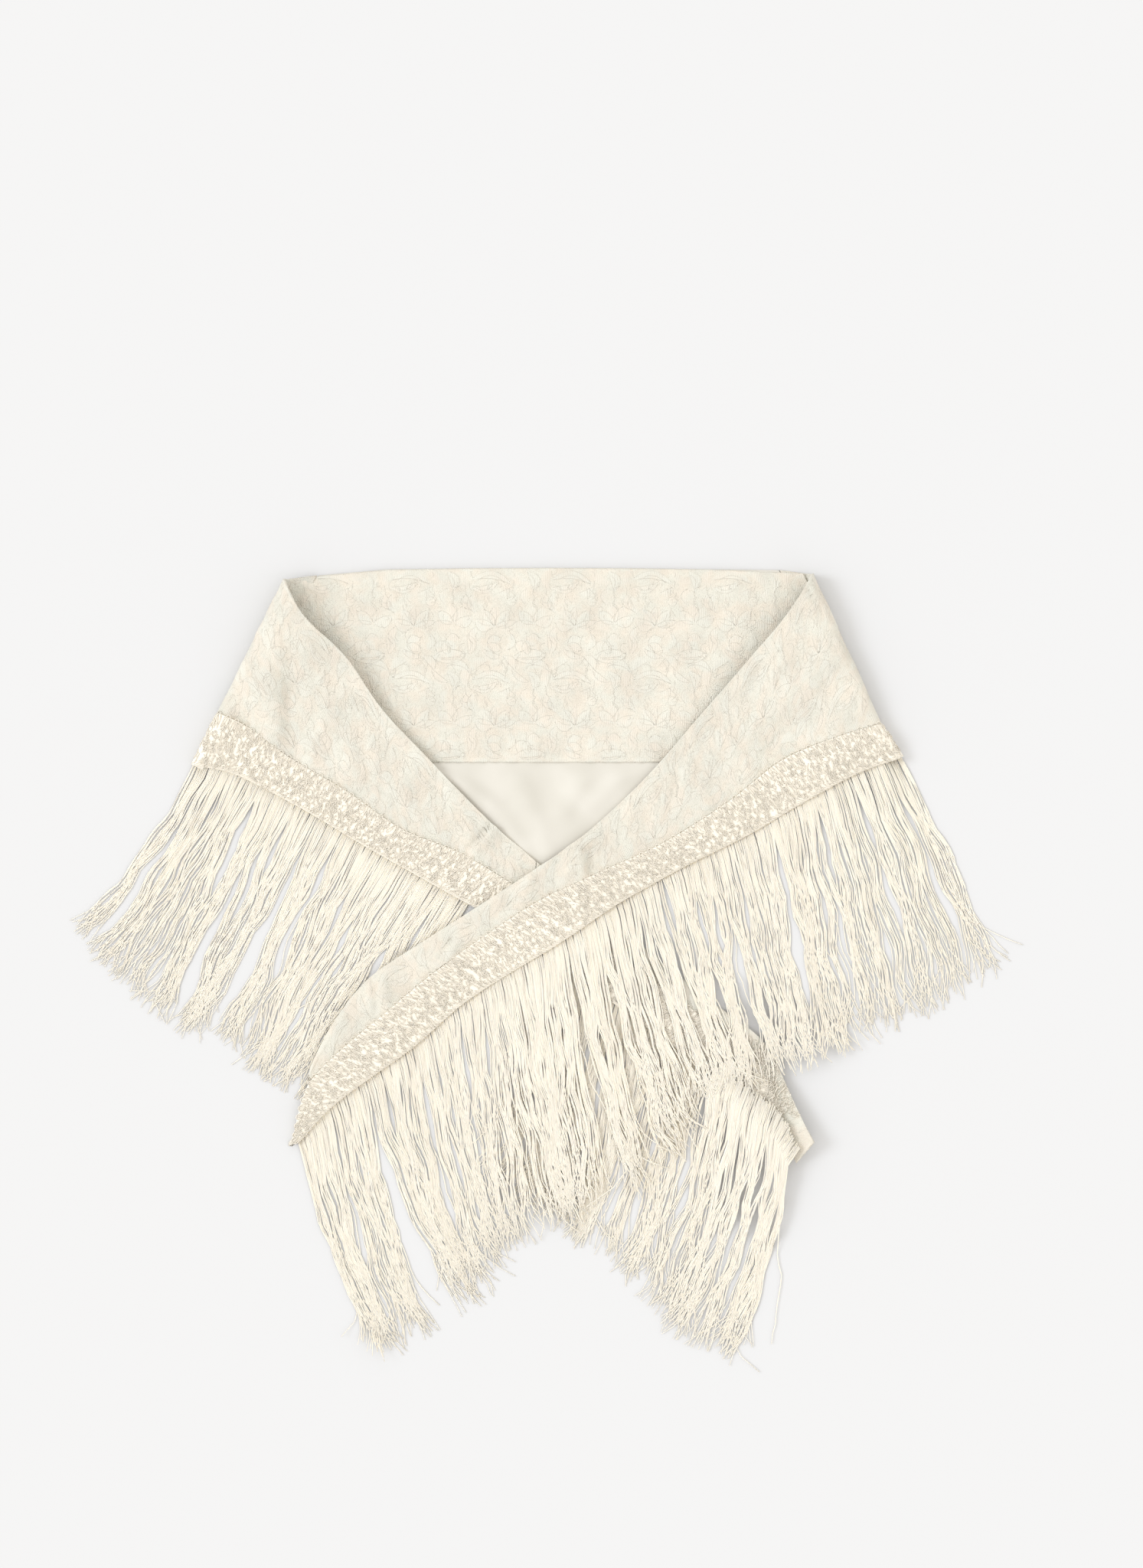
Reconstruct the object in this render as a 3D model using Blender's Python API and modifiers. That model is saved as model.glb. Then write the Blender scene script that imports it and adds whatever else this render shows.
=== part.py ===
"""A fringed lace shawl laid flat, as it would be worn.

The shawl is one long shallow triangle of lined lace. The middle of its long neck edge is the
back. Its two ends are folded down over the back at the shoulders, and the right front lies
across the left one. A knotted braid runs along the outer edge, and a yarn fringe hangs from it.

Left and right are as seen from above. Units are metres, and the tables are in millimetres.
+X runs to the right, +Y towards the neck edge and +Z up. The origin is on the table under the back.
"""
import math
from collections import namedtuple

import bmesh
import bpy
import numpy as np
from mathutils import Vector
from mathutils.bvhtree import BVHTree

MM = 0.001

# Thicknesses of the layers
LINING_THICK = 2.0 * MM
FACING_THICK = 2.0 * MM
CLOTH_THICK = 2.4 * MM
BRAID_THICK = 4.0 * MM
FRINGE_THICK = 3.0 * MM

# Room between neighbours
SEAM_GAP = 0.3 * MM
REST_GAP = 0.6 * MM
BRAID_SEAM_GAP = 0.7 * MM

# Rows along and across the cloth
CLOTH_ROWS = 40
CLOTH_LINES = 8
BRAID_ROWS = 76
FOLD_STEPS = 6
FOLD_TUCK = 25.0 * MM
BRAID_TUCK = 14.0 * MM
BRAID_FLAT_ROWS = 5

# Where the left front goes out of sight and is made as a second stretch
LEFT_CLOTH_SPLIT = 20
LEFT_BRAID_SPLIT = 38

# The fringe's backing strip and locks
LOCK_PITCH = 7.6 * MM
LOCK_FILL = 0.74
LOCK_STEPS = 5
LOCK_TIP_THICK = 2.0 * MM
LOCK_TIP_FILL = 0.5
STRIP_DEPTH = 4.0 * MM
WAVE_HEIGHT = 2.2 * MM
WAVES_PER_LOCK = 1.4
WAVE_DRIFT = 9.0
LENGTH_SPREAD = 0.05
LENGTH_TURNS = (2.4, 0.9)
DESCENT = 0.12

# The grid that holds the heights of what lies on the table
GRID_CELL = 4.0 * MM
GRID_LOW = (-440 * MM, -640 * MM)
GRID_HIGH = (440 * MM, 130 * MM)
CAST_FROM = 0.2
FALL_STEPS = 20

# How far a layer keeps the height of what is under it, and how gently it then falls
Drape = namedtuple("Drape", "reach fall")

OVER_BACK = Drape(12 * MM, 0.15)
OVER_LEFT = Drape(16 * MM, 0.12)
FRINGE_OVER_LEFT = Drape(20 * MM, 0.10)

# Samples on a smooth line for each of its points, and on an edge that carries fringe
CURVE_SAMPLES = 40
EDGE_SAMPLES = 400
EDGE_STEP = 0.002

# A section across a front: its neck edge, its seam with the braid and the braid's outer edge,
# each with how far it rises above what it lies on
Section = namedtuple("Section", "neck_x neck_y seam_x seam_y edge_x edge_y neck_up seam_up edge_up")

LEFT_SECTIONS = [
    Section(-243.6, 100.1, -304.5, -21.0, -329.0, -69.3, 20.0, 11.0, 7.5),
    Section(-226.1, 68.6, -279.3, -32.9, -294.0, -76.0, 20.0, 7.0, 3.0),
    Section(-187.6, 30.1, -239.4, -61.6, -262.0, -90.5, 10.0, 3.0, 0.6),
    Section(-154.7, -17.5, -187.6, -92.4, -224.0, -111.3, 3.0, 1.0, 0.0),
    Section(-110.6, -65.1, -136.5, -127.4, -175.0, -140.7, 1.0, 0.5, 0.0),
    Section(-56.7, -120.4, -82.6, -149.8, -110.6, -177.1, 1.0, 0.5, 0.0),
    Section(-9.8, -161.0, -28.0, -182.7, -49.0, -212.1, 0.0, 0.0, 0.0),
    Section(66.5, -222.6, 53.2, -238.7, 30.1, -268.1, 0.0, 0.0, 0.0),
    Section(143.5, -284.2, 133.7, -296.1, 110.6, -325.5, 1.0, 0.0, 0.0),
    Section(196.7, -326.9, 186.0, -338.0, 165.9, -364.7, 5.0, 2.0, 0.0),
    Section(215.6, -364.0, 201.6, -366.8, 184.8, -378.7, 8.0, 4.0, 0.0),
    Section(226.0, -387.0, 207.5, -386.0, 198.1, -388.0, 12.0, 6.0, 2.0),
    Section(239.4, -413.0, 224.0, -432.6, 217.0, -424.0, 17.0, 8.0, 5.0),
]

RIGHT_SECTIONS = [
    Section(238.7, 105.0, 301.0, -30.8, 322.0, -61.6, 20.0, 11.0, 7.5),
    Section(214.9, 68.6, 259.0, -44.1, 285.6, -74.2, 19.0, 7.0, 2.5),
    Section(175.7, 21.7, 214.9, -62.3, 235.9, -100.1, 9.0, 3.0, 0.5),
    Section(139.3, -20.3, 160.3, -103.6, 181.3, -132.3, 4.0, 1.0, 0.0),
    Section(84.0, -83.3, 97.3, -142.8, 118.3, -163.8, 2.0, 0.5, 0.0),
    Section(37.1, -127.4, 44.8, -166.6, 58.1, -198.1, 1.5, 0.5, 0.0),
    Section(-14.0, -164.5, -14.0, -194.6, 7.0, -232.4, 1.0, 0.5, 0.0),
    Section(-70.0, -200.9, -56.0, -221.9, -37.1, -259.0, 1.0, 0.5, 0.0),
    Section(-116.9, -231.0, -101.5, -254.1, -80.5, -287.7, 1.0, 0.5, 0.0),
    Section(-170.1, -268.1, -154.0, -297.5, -126.0, -326.9, 1.5, 0.5, 0.0),
    Section(-205.1, -317.1, -196.0, -333.0, -168.0, -357.0, 1.5, 0.5, 0.0),
    Section(-223.5, -357.0, -218.5, -356.0, -196.0, -378.0, 0.5, 0.5, 0.0),
    Section(-238.5, -418.0, -238.5, -418.0, -232.0, -413.0, 0.0, 0.0, 0.0),
]

# The left cloth runs on past its braid to a plain tip, and the right braid turns down to its own
# tip past the end of the cloth. These are shares of each front's length.
LEFT_CLOTH_END = 1.0
LEFT_BRAID_END = 0.925
RIGHT_CLOTH_END = 0.905
RIGHT_BRAID_END = 1.0

# The directions in which the cloth runs on from a shoulder under the back
NECK_RUN = (1.0, 0.12)
SEAM_RUN = (0.925, -0.38)

# A soft ridge or trough in a front, along the line from its start to its end
Crease = namedtuple("Crease", "start_x start_y end_x end_y half_width rise")

LEFT_CREASES = [
    Crease(-296, 10, -284, -28, 7, -2.0),
    Crease(-266, 28, -250, -40, 10, 2.5),
    Crease(-238, 10, -236, -50, 8, -2.5),
    Crease(-180, -56, -172, -84, 12, 2.0),
    Crease(-53, -122, -75, -146, 6, 2.0),
]

RIGHT_CREASES = [
    Crease(200, 30, 176, -10, 12, 2.0),
    Crease(215, -36, 196, -58, 10, -2.0),
    Crease(168, -26, 140, -52, 12, 2.5),
    Crease(122, -48, 108, -96, 10, 1.5),
    Crease(22, -150, 12, -176, 9, 4.0),
    Crease(-92, -238, -100, -252, 8, 2.0),
    Crease(-158, -280, -168, -296, 9, 2.0),
]

# The back's neck edge between the shoulders, and the middle of its hidden lower edge
BACK_NECK = [(-150, 109.3), (-75, 110.4), (0, 110.8), (75, 110.4), (150, 109.3)]
BACK_LOW_POINTS = [(-100, -142), (-40, -166), (0, -172), (40, -166), (100, -142)]

# The lace on the inside of the back ends in this straight edge
FACING_LOW_Y = -67.0 * MM
FACING_INSET = 0.6 * MM

# Relief of the braid: how far across it, and its height in even and in odd rows
Relief = namedtuple("Relief", "across even odd")

BRAID_RELIEF = [
    Relief(0.0, 0.2, 0.2),
    Relief(0.18, 1.4, 0.3),
    Relief(0.5, 0.6, 2.0),
    Relief(0.82, 1.6, 0.4),
    Relief(1.0, 0.0, 0.0),
]

# The way the fringe lies: where along the edge, from the lock's root to its tip, and its bow
Flow = namedtuple("Flow", "at reach_x reach_y bow")

LEFT_FLOW = [
    Flow(0.00, -99, -136, 5),
    Flow(0.04, -105, -162, 4),
    Flow(0.10, -99, -193, 3),
    Flow(0.17, -97, -200, 2),
    Flow(0.25, -101, -194, 0),
    Flow(0.33, -113, -186, 0),
    Flow(0.42, -124, -180, 0),
]

LEFT_END_FLOW = [
    Flow(0.56, -35, -208, 3),
    Flow(0.63, -38, -206, 3),
    Flow(0.72, -45, -196, 4),
    Flow(0.82, -56, -195, 6),
    Flow(0.93, -58, -204, 9),
]

RIGHT_FLOW = [
    Flow(0.00, 90, -183, 4),
    Flow(0.05, 80, -204, 3),
    Flow(0.10, 58, -211, 2),
    Flow(0.15, 44, -211, 0),
    Flow(0.28, 42, -203, 0),
    Flow(0.40, 54, -197, -3),
    Flow(0.55, 53, -232, -5),
    Flow(0.68, 38, -224, -4),
    Flow(0.80, 46, -212, -6),
    Flow(0.92, 70, -209, -8),
    Flow(1.00, 76, -194, -12),
]

# The stretches of the outer edge, from start to end, that carry each run of fringe
LEFT_FRINGE_SPAN = (0.004, 0.432)
LEFT_END_FRINGE_SPAN = (0.565, 0.925)
RIGHT_FRINGE_SPAN = (0.004, 0.997)

IVORY_LACE = (0.89, 0.84, 0.73)
IVORY_LINING = (0.88, 0.84, 0.75)
IVORY_BRAID = (0.88, 0.82, 0.69)
IVORY_YARN = (0.84, 0.79, 0.68)


def empty_scene():
    """Remove the objects that a new file starts with."""
    for thing in list(bpy.data.objects):
        bpy.data.objects.remove(thing, do_unlink=True)


def finish_of(name, colour, roughness):
    """A matte textile material."""
    material = bpy.data.materials.new(name)
    material.use_nodes = True
    shader = material.node_tree.nodes["Principled BSDF"]
    shader.inputs["Base Color"].default_value = (*colour, 1.0)
    shader.inputs["Roughness"].default_value = roughness
    shader.inputs["Metallic"].default_value = 0.0
    return material


def piece_from(name, shape, collection, material):
    """A named object in the collection, made from a bmesh."""
    mesh = bpy.data.meshes.new(name)
    shape.to_mesh(mesh)
    shape.free()
    mesh.shade_smooth()
    piece = bpy.data.objects.new(name, mesh)
    piece.data.materials.append(material)
    collection.objects.link(piece)
    return piece


def smooth_line(points, count, start=0.0, end=1.0):
    """Evenly spaced points on a smooth curve through rows of x, y and any further values."""
    points = np.asarray(points, dtype=float)
    steps = np.hypot(*np.diff(points[:, :2], axis=0).T)
    along = np.concatenate(([0.0], np.cumsum(steps)))
    slopes = np.gradient(points, along, axis=0)
    places = np.linspace(0.0, along[-1], CURVE_SAMPLES * len(points))
    cell = np.clip(np.searchsorted(along, places, side="right") - 1, 0, len(steps) - 1)
    part = ((places - along[cell]) / steps[cell])[:, None]
    width = steps[cell][:, None]
    curve = (points[cell] * (1 + 2 * part) * (1 - part) ** 2
             + points[cell + 1] * (3 - 2 * part) * part ** 2
             + slopes[cell] * width * part * (1 - part) ** 2
             - slopes[cell + 1] * width * part ** 2 * (1 - part))
    lengths = np.concatenate(([0.0], np.cumsum(np.hypot(*np.diff(curve[:, :2], axis=0).T))))
    even = np.linspace(start, end, count) * lengths[-1]
    return np.column_stack([np.interp(even, lengths, column) for column in curve.T])


def line_of(sections, part, count, start=0.0, end=1.0):
    """The neck, seam or edge line of a front, as x, y and rise in metres."""
    rows = []
    for section in sections:
        values = section._asdict()
        rows.append([values[part + "_x"], values[part + "_y"], values[part + "_up"]])
    return smooth_line(np.array(rows) * MM, count, start, end)


class Table:
    """Heights of all that lies on the table so far, seen from above."""

    def __init__(self):
        self.xs = np.arange(GRID_LOW[0], GRID_HIGH[0], GRID_CELL)
        self.ys = np.arange(GRID_LOW[1], GRID_HIGH[1], GRID_CELL)
        self.heights = np.zeros((len(self.xs), len(self.ys)))

    def lay(self, piece):
        """Raise the heights to the top of a piece that now lies there."""
        bpy.context.view_layer.update()
        tree = BVHTree.FromObject(piece, bpy.context.evaluated_depsgraph_get())
        down = Vector((0.0, 0.0, -1.0))
        for column, x in enumerate(self.xs):
            for row, y in enumerate(self.ys):
                hit = tree.ray_cast(Vector((x, y, CAST_FROM)), down)[0]
                if hit is not None:
                    self.heights[column, row] = max(self.heights[column, row], hit.z)

    def draped(self, drape):
        """A function of x and y: the height at which a layer clears what lies there."""
        cells = int(round(drape.reach / GRID_CELL))
        padded = np.pad(self.heights, cells)
        raised = self.heights.copy()
        for across in range(-cells, cells + 1):
            for up in range(-cells, cells + 1):
                if across ** 2 + up ** 2 <= cells ** 2:
                    window = padded[cells + across:, cells + up:]
                    raised = np.maximum(raised, window[:len(self.xs), :len(self.ys)])
        for _ in range(FALL_STEPS):
            for axis in (0, 1):
                for shift in (-1, 1):
                    lower = np.roll(raised, shift, axis) - drape.fall * GRID_CELL
                    raised = np.maximum(raised, lower)

        def height_at(x, y):
            column = (x - GRID_LOW[0]) / GRID_CELL
            row = (y - GRID_LOW[1]) / GRID_CELL
            left = int(np.clip(math.floor(column), 0, len(self.xs) - 2))
            low = int(np.clip(math.floor(row), 0, len(self.ys) - 2))
            across = min(max(column - left, 0.0), 1.0)
            up = min(max(row - low, 0.0), 1.0)
            near = raised[left, low] * (1 - up) + raised[left, low + 1] * up
            far = raised[left + 1, low] * (1 - up) + raised[left + 1, low + 1] * up
            return near * (1 - across) + far * across

        return height_at


def creased(x, y, creases):
    """The rise that the soft creases add at a point."""
    rise = 0.0
    for crease in creases:
        start = Vector((crease.start_x, crease.start_y)) * MM
        run = Vector((crease.end_x, crease.end_y)) * MM - start
        offset = Vector((x, y)) - start
        part = min(max(offset.dot(run) / run.length_squared, 0.0), 1.0)
        away = (offset - run * part).length / (crease.half_width * MM)
        rise += crease.rise * MM * math.exp(-away ** 2)
    return rise


def laid_rows(inner, outer, lines, thick, height_at, creases):
    """Rows of points across a strip, at its mid thickness, over what it lies on."""
    rows = []
    for inner_point, outer_point in zip(inner, outer):
        row = []
        for part in np.linspace(0.0, 1.0, lines):
            x, y, rise = inner_point * (1 - part) + outer_point * part
            lift = max(rise + creased(x, y, creases), 0.0)
            below = height_at(x, y)
            below += min(below, REST_GAP)
            row.append(Vector((x, y, below + thick / 2 + lift)))
        rows.append(row)
    return rows


def fold_rows(outline, under_runs, over_runs, inward, thick, tuck):
    """Rows that bring a strip from under a shoulder, round the fold and back over the top.

    outline holds the fold's outermost points, each at the height of the top layer's middle.
    """
    low = thick / 2
    turns = np.linspace(-math.pi / 2, math.pi / 2, FOLD_STEPS + 1)
    rows = [[] for _ in range(FOLD_STEPS + 2)]
    for point, under, over in zip(outline, under_runs, over_runs):
        radius = (point.z - low) / 2
        centre = thick / 2 + radius
        foot = Vector((point.x, point.y, 0.0))
        under_step = under / under.dot(inward)
        over_step = over / over.dot(inward)
        rows[0].append(foot + under_step * tuck + Vector((0.0, 0.0, low)))
        for index, turn in enumerate(turns):
            step = under_step.lerp(over_step, (1 + math.sin(turn)) / 2)
            depth = centre - radius * math.cos(turn)
            height = low + radius + radius * math.sin(turn)
            rows[index + 1].append(foot + step * depth + Vector((0.0, 0.0, height)))
    return rows


def shoulder(sections, side):
    """The unit direction inwards from a shoulder fold, and the runs under the back there."""
    first = sections[0]
    fold = Vector((first.edge_x - first.neck_x, first.edge_y - first.neck_y, 0.0))
    inward = Vector((-fold.y, fold.x, 0.0)).normalized() * side
    neck_run = Vector((NECK_RUN[0] * side, NECK_RUN[1], 0.0))
    seam_run = Vector((SEAM_RUN[0] * side, SEAM_RUN[1], 0.0))
    return inward, neck_run, seam_run


def run_between(rows, line):
    """The level direction from the first row to the second one, on one line of points."""
    step = rows[1][line] - rows[0][line]
    return Vector((step.x, step.y, 0.0)).normalized()


def cloth_rows(sections, end, side, height_at, creases):
    """All rows of a front's cloth, from its end under the shoulder to its far end."""
    neck = line_of(sections, "neck", CLOTH_ROWS, 0.0, end)
    seam = line_of(sections, "seam", CLOTH_ROWS, 0.0, end)
    rows = laid_rows(neck, seam, CLOTH_LINES, CLOTH_THICK, height_at, creases)
    inward, neck_run, seam_run = shoulder(sections, side)
    parts = np.linspace(0.0, 1.0, CLOTH_LINES)
    under = [neck_run.lerp(seam_run, part) for part in parts]
    over = [run_between(rows, line) for line in range(CLOTH_LINES)]
    folded = fold_rows(rows[0], under, over, inward, CLOTH_THICK, FOLD_TUCK)
    return folded + rows[1:]


def braid_rows(sections, end, side, height_at):
    """All rows of a front's braid, from its end under the shoulder to its far end."""
    seam = line_of(sections, "seam", BRAID_ROWS, 0.0, end)
    edge = line_of(sections, "edge", BRAID_ROWS, 0.0, end)
    for inner, outer in zip(seam, edge):
        across = outer[:2] - inner[:2]
        inner[:2] += across / np.hypot(*across) * BRAID_SEAM_GAP
    rows = laid_rows(seam, edge, len(BRAID_RELIEF), BRAID_THICK, height_at, [])
    inward, _, seam_run = shoulder(sections, side)
    under = [seam_run] * len(BRAID_RELIEF)
    over = [run_between(rows, line) for line in range(len(BRAID_RELIEF))]
    folded = fold_rows(rows[0], under, over, inward, BRAID_THICK, BRAID_TUCK)
    return folded + rows[2:]


def parted(rows, split):
    """The rows before and after a split, with a seam's gap between the two."""
    step = rows[split][0] - rows[split - 1][0]
    ahead = step.normalized() * SEAM_GAP
    return rows[:split], [[point + ahead for point in rows[split - 1]]] + rows[split:]


def sheet(name, rows, collection, material):
    """A cloth wall through rows of points at its mid thickness."""
    shape = bmesh.new()
    grid = [[shape.verts.new(point) for point in row] for row in rows]
    for row, following in zip(grid, grid[1:]):
        for line in range(len(row) - 1):
            shape.faces.new((row[line], row[line + 1], following[line + 1], following[line]))
    piece = piece_from(name, shape, collection, material)
    wall = piece.modifiers.new("Wall", "SOLIDIFY")
    wall.thickness = CLOTH_THICK
    wall.offset = 0.0
    wall.use_even_offset = True
    return piece


def flat_sheet(name, outline, bottom, thick, collection, material):
    """A flat sheet of one thickness, from its outline seen from above."""
    shape = bmesh.new()
    face = shape.faces.new([shape.verts.new((x, y, bottom)) for x, y in outline])
    shape.normal_update()
    if face.normal.z < 0:
        face.normal_flip()
    piece = piece_from(name, shape, collection, material)
    wall = piece.modifiers.new("Wall", "SOLIDIFY")
    wall.thickness = thick
    wall.offset = 1.0
    return piece


def loft(name, rings, collection, material):
    """A closed solid through rings of points, with a cap at each end."""
    shape = bmesh.new()
    loops = [[shape.verts.new(point) for point in ring] for ring in rings]
    count = len(loops[0])
    for loop, following in zip(loops, loops[1:]):
        for index in range(count):
            after = (index + 1) % count
            shape.faces.new((loop[index], loop[after], following[after], following[index]))
    shape.faces.new(loops[0])
    shape.faces.new(loops[-1])
    bmesh.ops.recalc_face_normals(shape, faces=shape.faces)
    return piece_from(name, shape, collection, material)


def braid(name, rows, side, flat_rows, collection, material):
    """A braid with a raised heading, a row of knots and a slim lower edge.

    Its first rows, which lie under a shoulder, are flat.
    """
    rings = []
    for index, row in enumerate(rows):
        is_flat = index < flat_rows
        before = rows[max(index - 1, 0)]
        after = rows[min(index + 1, len(rows) - 1)]
        across = row[-1] - row[0]
        along = after[len(row) // 2] - before[len(row) // 2]
        normal = across.cross(along).normalized() * side
        top = []
        for point, relief in zip(row, BRAID_RELIEF):
            height = relief.even if index % 2 == 0 else relief.odd
            if is_flat:
                height = 0.0
            top.append(point + normal * (BRAID_THICK / 2 + height * MM))
        under = [row[-1] - normal * BRAID_THICK / 2, row[0] - normal * BRAID_THICK / 2]
        rings.append(top + under)
    return loft(name, rings, collection, material)


def flow_at(flow, place):
    """The run from root to tip, and the bow, of the lock at a place along the edge."""
    places = [row.at for row in flow]
    reach_x = np.interp(place, places, [row.reach_x for row in flow])
    reach_y = np.interp(place, places, [row.reach_y for row in flow])
    bow = np.interp(place, places, [row.bow for row in flow])
    return Vector((reach_x, reach_y)) * MM, bow * MM


def lock_rings(root, root_bottom, place, number, flow, height_at):
    """Rings of four points along one lock, after its root."""
    reach, bow = flow_at(flow, place)
    spread = math.sin(LENGTH_TURNS[0] * number) * math.cos(LENGTH_TURNS[1] * number)
    reach *= 1.0 + LENGTH_SPREAD * spread
    side = Vector((-reach.y, reach.x)).normalized()
    rings = []
    for step in range(1, LOCK_STEPS + 1):
        part = step / LOCK_STEPS
        turn = 2 * math.pi * WAVES_PER_LOCK * part + WAVE_DRIFT * place
        wave = math.sin(turn) * WAVE_HEIGHT * part
        centre = root + reach * part + side * (4 * bow * part * (1 - part) + wave)
        half = side * LOCK_PITCH / 2 * (LOCK_FILL + (LOCK_TIP_FILL - LOCK_FILL) * part)
        left = centre - half
        right = centre + half
        lying = max(height_at(spot.x, spot.y) for spot in (left, centre, right)) + REST_GAP
        bottom = max(lying, root_bottom - DESCENT * (centre - root).length)
        thick = FRINGE_THICK + (LOCK_TIP_THICK - FRINGE_THICK) * part
        top = bottom + thick
        rings.append([(left.x, left.y, bottom), (right.x, right.y, bottom),
                      (right.x, right.y, top), (left.x, left.y, top)])
    return rings


def strip_rings(inner, outer, bottoms):
    """Rings of four points of the backing strip: below and above, inside and outside."""
    rings = []
    for near, far, bottom in zip(inner, outer, bottoms):
        top = bottom + FRINGE_THICK
        rings.append([(near[0], near[1], bottom), (far[0], far[1], bottom),
                      (far[0], far[1], top), (near[0], near[1], top)])
    return rings


def edge_places(span, length):
    """Where each lock starts and ends along an edge, as shares of the edge's length."""
    locks = int((span[1] - span[0]) * length / LOCK_PITCH)
    pitch = (span[1] - span[0]) / locks
    centres = span[0] + pitch * (np.arange(locks) + 0.5)
    half = pitch * LOCK_FILL / 2
    return np.column_stack((centres - half, centres + half)).ravel()


def strip_lines(sections, places, outward):
    """The inner and outer lines of a backing strip at places along an edge, and the edge's rise."""
    fine = line_of(sections, "edge", EDGE_SAMPLES)
    parts = np.linspace(0.0, 1.0, EDGE_SAMPLES)
    edge, ahead, behind = (np.column_stack([np.interp(places + shift, parts, column)
                                            for column in fine.T])
                           for shift in (0.0, EDGE_STEP, -EDGE_STEP))
    run = ahead[:, :2] - behind[:, :2]
    normal = np.column_stack((run[:, 1], -run[:, 0])) * outward
    normal /= np.hypot(*normal.T)[:, None]
    inner = edge[:, :2] + normal * BRAID_SEAM_GAP
    return inner, inner + normal * STRIP_DEPTH, edge[:, 2]


def edge_length(sections):
    """The length of a front's outer edge."""
    fine = line_of(sections, "edge", EDGE_SAMPLES)
    return float(np.sum(np.hypot(*np.diff(fine[:, :2], axis=0).T)))


def add_lock(shape, first, second, rings):
    """Draw a lock out of the strip's outer face between two of its rings."""
    loop = [first[1], second[1], second[2], first[2]]
    root_run = second[1].co - first[1].co
    ring_run = Vector(rings[0][1]) - Vector(rings[0][0])
    swapped = root_run.dot(ring_run) < 0
    for ring in rings:
        points = [ring[1], ring[0], ring[3], ring[2]] if swapped else ring
        following = [shape.verts.new(point) for point in points]
        for corner in range(4):
            after = (corner + 1) % 4
            shape.faces.new((loop[corner], loop[after], following[after], following[corner]))
        loop = following
    shape.faces.new(loop)


def fringe(name, sections, span, flow, outward, height_at, collection, material):
    """A narrow backing strip beside the braid's outer edge, with a lock from each of its cells."""
    places = edge_places(span, edge_length(sections))
    inner, outer, rises = strip_lines(sections, places, outward)
    bottoms = [max(height_at(*near), height_at(*far)) + REST_GAP + rise
               for near, far, rise in zip(inner, outer, rises)]
    shape = bmesh.new()
    strip = [[shape.verts.new(point) for point in ring] for ring in strip_rings(inner, outer, bottoms)]
    outside = 1
    for index, (ring, following) in enumerate(zip(strip, strip[1:])):
        for corner in range(4):
            after = (corner + 1) % 4
            if corner == outside and index % 2 == 0:
                continue
            shape.faces.new((ring[corner], ring[after], following[after], following[corner]))
    shape.faces.new(strip[0])
    shape.faces.new(strip[-1])
    for lock in range(len(places) // 2):
        near = 2 * lock
        root = Vector((outer[near] + outer[near + 1]) / 2)
        place = (places[near] + places[near + 1]) / 2
        rings = lock_rings(root, bottoms[near], place, lock, flow, height_at)
        add_lock(shape, strip[near], strip[near + 1], rings)
    bmesh.ops.recalc_face_normals(shape, faces=shape.faces)
    return piece_from(name, shape, collection, material)


def tuck_line(sections, side):
    """The end of a front's cloth under the back, a seam's gap further in: neck and seam points."""
    inward, neck_run, seam_run = shoulder(sections, side)
    first = sections[0]
    ends = []
    for x, y, run in ((first.neck_x, first.neck_y, neck_run), (first.seam_x, first.seam_y, seam_run)):
        point = Vector((x * MM, y * MM, 0.0)) + run / run.dot(inward) * (FOLD_TUCK + SEAM_GAP)
        ends.append((point.x, point.y))
    return ends


def back_outline():
    """The outline of the back between the shoulders, anticlockwise from its left neck corner."""
    left_neck, left_seam = tuck_line(LEFT_SECTIONS, 1)
    right_neck, right_seam = tuck_line(RIGHT_SECTIONS, -1)
    low = [(x * MM, y * MM) for x, y in BACK_LOW_POINTS]
    neck = [(x * MM, y * MM) for x, y in BACK_NECK]
    return [left_neck, left_seam] + low + [right_seam, right_neck] + neck[::-1]


def facing_outline(back):
    """The part of the back's outline above the facing's lower edge, inset at the neck edge."""
    outline = []
    for (x, y), (next_x, next_y) in zip(back, back[1:] + back[:1]):
        if y >= FACING_LOW_Y:
            outline.append((x, y - FACING_INSET if y > 0 else y))
        if (y - FACING_LOW_Y) * (next_y - FACING_LOW_Y) < 0:
            part = (FACING_LOW_Y - y) / (next_y - y)
            outline.append((x + (next_x - x) * part, FACING_LOW_Y))
    return outline


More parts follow.
